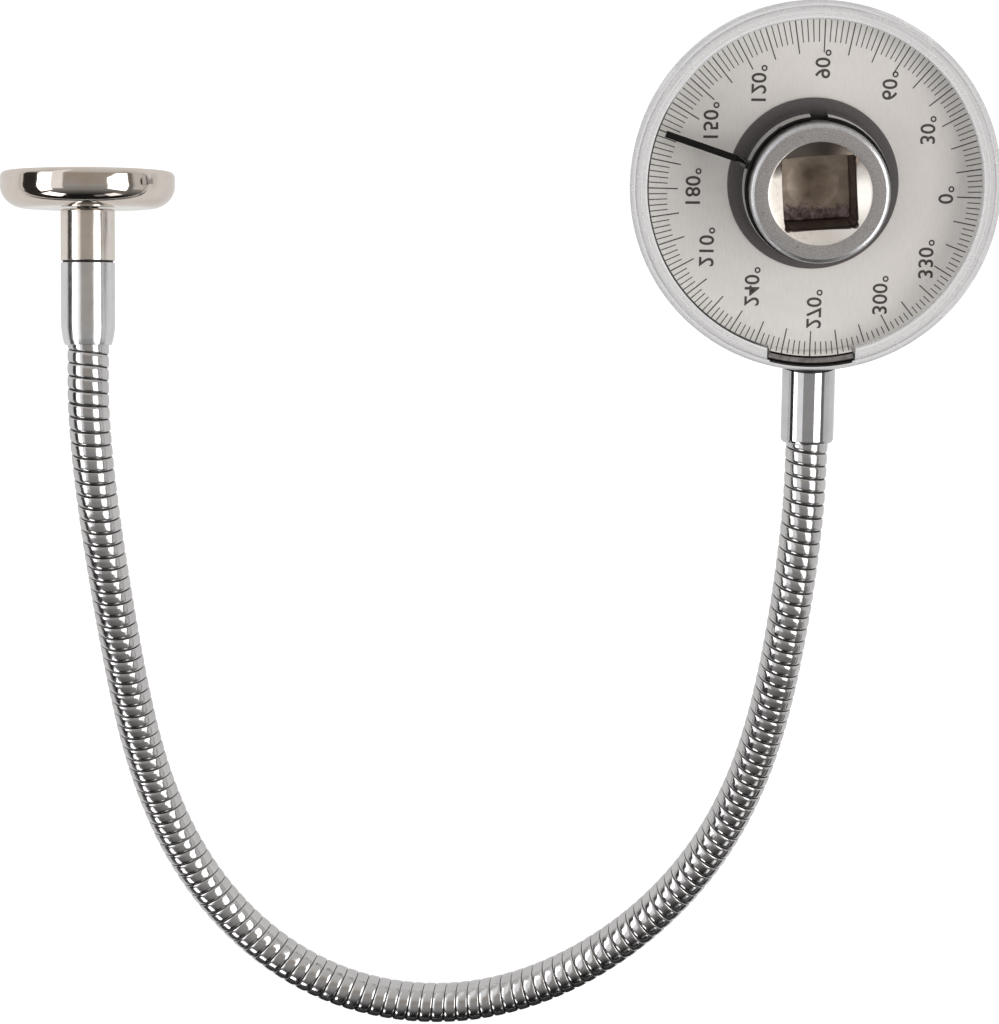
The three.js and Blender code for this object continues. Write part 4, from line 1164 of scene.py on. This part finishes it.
def make_band(name, s0, s1):
    """The outer band between two arc lengths, with its own crowned face and rounded shoulders."""
    R = HOSE_R
    half = [(0.26, 0.0005), (0.5, 0.006), (0.62, 0.017), (0.74, 0.037), (0.86, 0.066), (0.96, 0.1), (1.02, 0.14), (1.055, 0.2), (1.06, 0.28), (1.06, 0.9)]
    prof = [(-a, R - d) for a, d in reversed(half)] + [(0.0, R)] + [(a, R - d) for a, d in half]
    u0, u1 = s0 / PITCH, s1 / PITCH
    steps = max(8, int(round((u1 - u0) * 44)))
    u = np.linspace(u0, u1, steps + 1)
    s = u * PITCH
    c, t, n, b = at(LINE, s), at(TAN, s), at(NOR, s), at(BIN, s)
    phi = 2 * math.pi * u + HOSE_PHASE
    e = np.cos(phi)[:, None] * n + np.sin(phi)[:, None] * b
    m = len(prof)
    verts = np.stack([c + a * t + r * e for a, r in prof], 1).reshape(-1, 3)
    faces = []
    for k in range(steps):
        for j in range(m):
            j2 = (j + 1) % m
            faces.append([k * m + j, k * m + j2, (k + 1) * m + j2, (k + 1) * m + j])
    faces.append(list(range(m)))
    faces.append([steps * m + j for j in reversed(range(m))])
    return make_mesh(name, verts, faces, 50.0)


def make_core(name, s0, s1):
    """The core under the band, a ribbed tube, to be dressed near black as painted shade between the turns."""
    steps = max(6, int(round((s1 - s0) / PITCH * 6)))
    s = np.linspace(s0, s1, steps + 1)
    c, t, n, b = at(LINE, s), at(TAN, s), at(NOR, s), at(BIN, s)
    seg = 36
    rows = []
    for k in range(steps + 1):
        a = np.linspace(0, 2 * math.pi, seg, endpoint=False)
        r = 3.46 + 0.04 * np.cos(a - 2 * math.pi * s[k] / PITCH - HOSE_PHASE + math.pi)
        rows.append(c[k] + r[:, None] * (np.cos(a)[:, None] * n[k] + np.sin(a)[:, None] * b[k]))
    verts = np.vstack(rows)
    faces = []
    for k in range(steps):
        for j in range(seg):
            j2 = (j + 1) % seg
            faces.append([k * seg + j, k * seg + j2, (k + 1) * seg + j2, (k + 1) * seg + j])
    faces.append(list(range(seg)))
    faces.append([steps * seg + j for j in reversed(range(seg))])
    return make_mesh(name, verts, faces, 60.0)


HOSE_PHASE = 0.0
for k in range(9):
    s0 = -HOSE_HIDDEN if k == 0 else k * HOSE_LENGTH / 9
    s1 = HOSE_LENGTH + HOSE_HIDDEN if k == 8 else (k + 1) * HOSE_LENGTH / 9
    for maker, stem, look in ((make_band, "hose_band", HOSE), (make_core, "hose_core", CORE_SHADE_STEEL)):
        piece = maker("%s_%d" % (stem, k + 1), s0, s1)
        dress(piece, look)
        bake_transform(piece)
        if stem == "hose_band":
            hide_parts("gooseneck_%02d" % (k + 1), "gooseneck_%02d" % (k + 2))


# ---------- magnet end ----------
END_FRAME = frame_along(MAGNET_END, MAGNET_DIR)


def at_end(name, outline, look, slot, node, segments=160, **kw):
    obj = lathe(name, outline, segments, place=END_FRAME, **kw)
    dress(obj, look)
    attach(obj, "magnet_end")
    if node:
        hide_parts(node)
    return obj


at_end("ferrule_magnet", [
    (3.95, 0, 0.05), (4.3, 0, 0.12), (4.62, 1.1, 1.2), (4.85, 2.6, 2.0), (4.95, 3.6, 2.0), (4.95, 14.94, 0.05), (4.9, 15.0, 0.02), (3.25, 15.0), (3.25, 9.5), (3.95, 9.5),
], LIGHTENED_CHROME, "chrome_plate", "magnet_ferrule", n=6)
stem = at_end("stem", [
    (0, 10.6), (3.1, 10.6, 0.1), (3.1, 15.03, 0.02), (4.6, 15.03, 0.02), (4.6, 15.38, 0.02), (4.9, 15.4, 0.02), (4.95, 15.46, 0.05), (4.95, 24.4, 0.15), (4.75, 24.7, 0.15), (2.2, 24.7), (2.2, 16.5), (0, 16.5),
], LIGHTENED_NICKEL, "nickel_plate", "magnet_stem", n=4, closed=False)
# painted shade: the groove between the stem and the sleeve takes the near-black core steel
stem.data.materials.append(CORE_SHADE_STEEL.mat)
_from_end = np.linalg.inv(np.array(END_FRAME, float))
for _p in stem.data.polygons:
    _at = _from_end @ np.array([_p.center.x / MM, _p.center.y / MM, _p.center.z / MM, 1.0])
    if 15.0 < _at[2] < 15.41 and math.hypot(_at[0], _at[1]) < 4.93:
        _p.material_index = 1


def cup_outline():
    z0, z1, soft = 24.85, 31.6, 1.1
    pts = [(2.3, z0, 0.1)]
    for k in range(25):
        a = math.pi / 2 * k / 24
        pts.append((11.4 + 4.475 * math.sin(a), z0 + 4.2 * (1 - math.cos(a))))
    for k in range(10):
        a = math.pi / 2 * k / 9
        pts.append((15.875 - soft * (1 - math.cos(a)), z1 - soft * (1 - math.sin(a))))
    pts += [(14.45, z1, 0.1), (14.2, z1 - 0.25, 0.1), (14.2, z0 + 3.9, 1.0), (13.0, z0 + 2.0, 0.8), (2.3, z0 + 2.0, 0.1)]
    return pts


at_end("cup_shell", cup_outline(), NICKEL, "nickel_plate", "magnet_cup", segments=224, n=4)
at_end("magnet_core", [
    (4.2, 27.0, 0.2), (12.9, 27.0, 0.6), (14.05, 28.85, 0.6), (14.05, 31.35, 0.18), (4.2, 31.35, 0.22),
], FERRITE, "ferrite", "magnet_ring", n=4)


def make_screw():
    obj = lathe("end_screw", [
        (0, 17.1), (1.6, 17.1, 0.1), (1.95, 17.5, 0.1), (1.95, 26.95, 0.05), (3.7, 26.95, 0.1), (3.9, 27.15, 0.1), (3.9, 28.15, 0.15), (3.2, 28.95, 0.3), (0, 29.15),
    ], 96, n=3, closed=False, place=END_FRAME)
    hexagon = [(1.5 * math.cos(math.pi / 3 * k), 1.5 * math.sin(math.pi / 3 * k), 0.1) for k in range(6)]
    socket = prism("socket", hexagon, 27.65, 30.0, END_FRAME)
    carve(obj, socket)
    return obj


screw = make_screw()
dress(screw, SPRING)
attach(screw, "magnet_end")
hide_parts("magnet_screw")
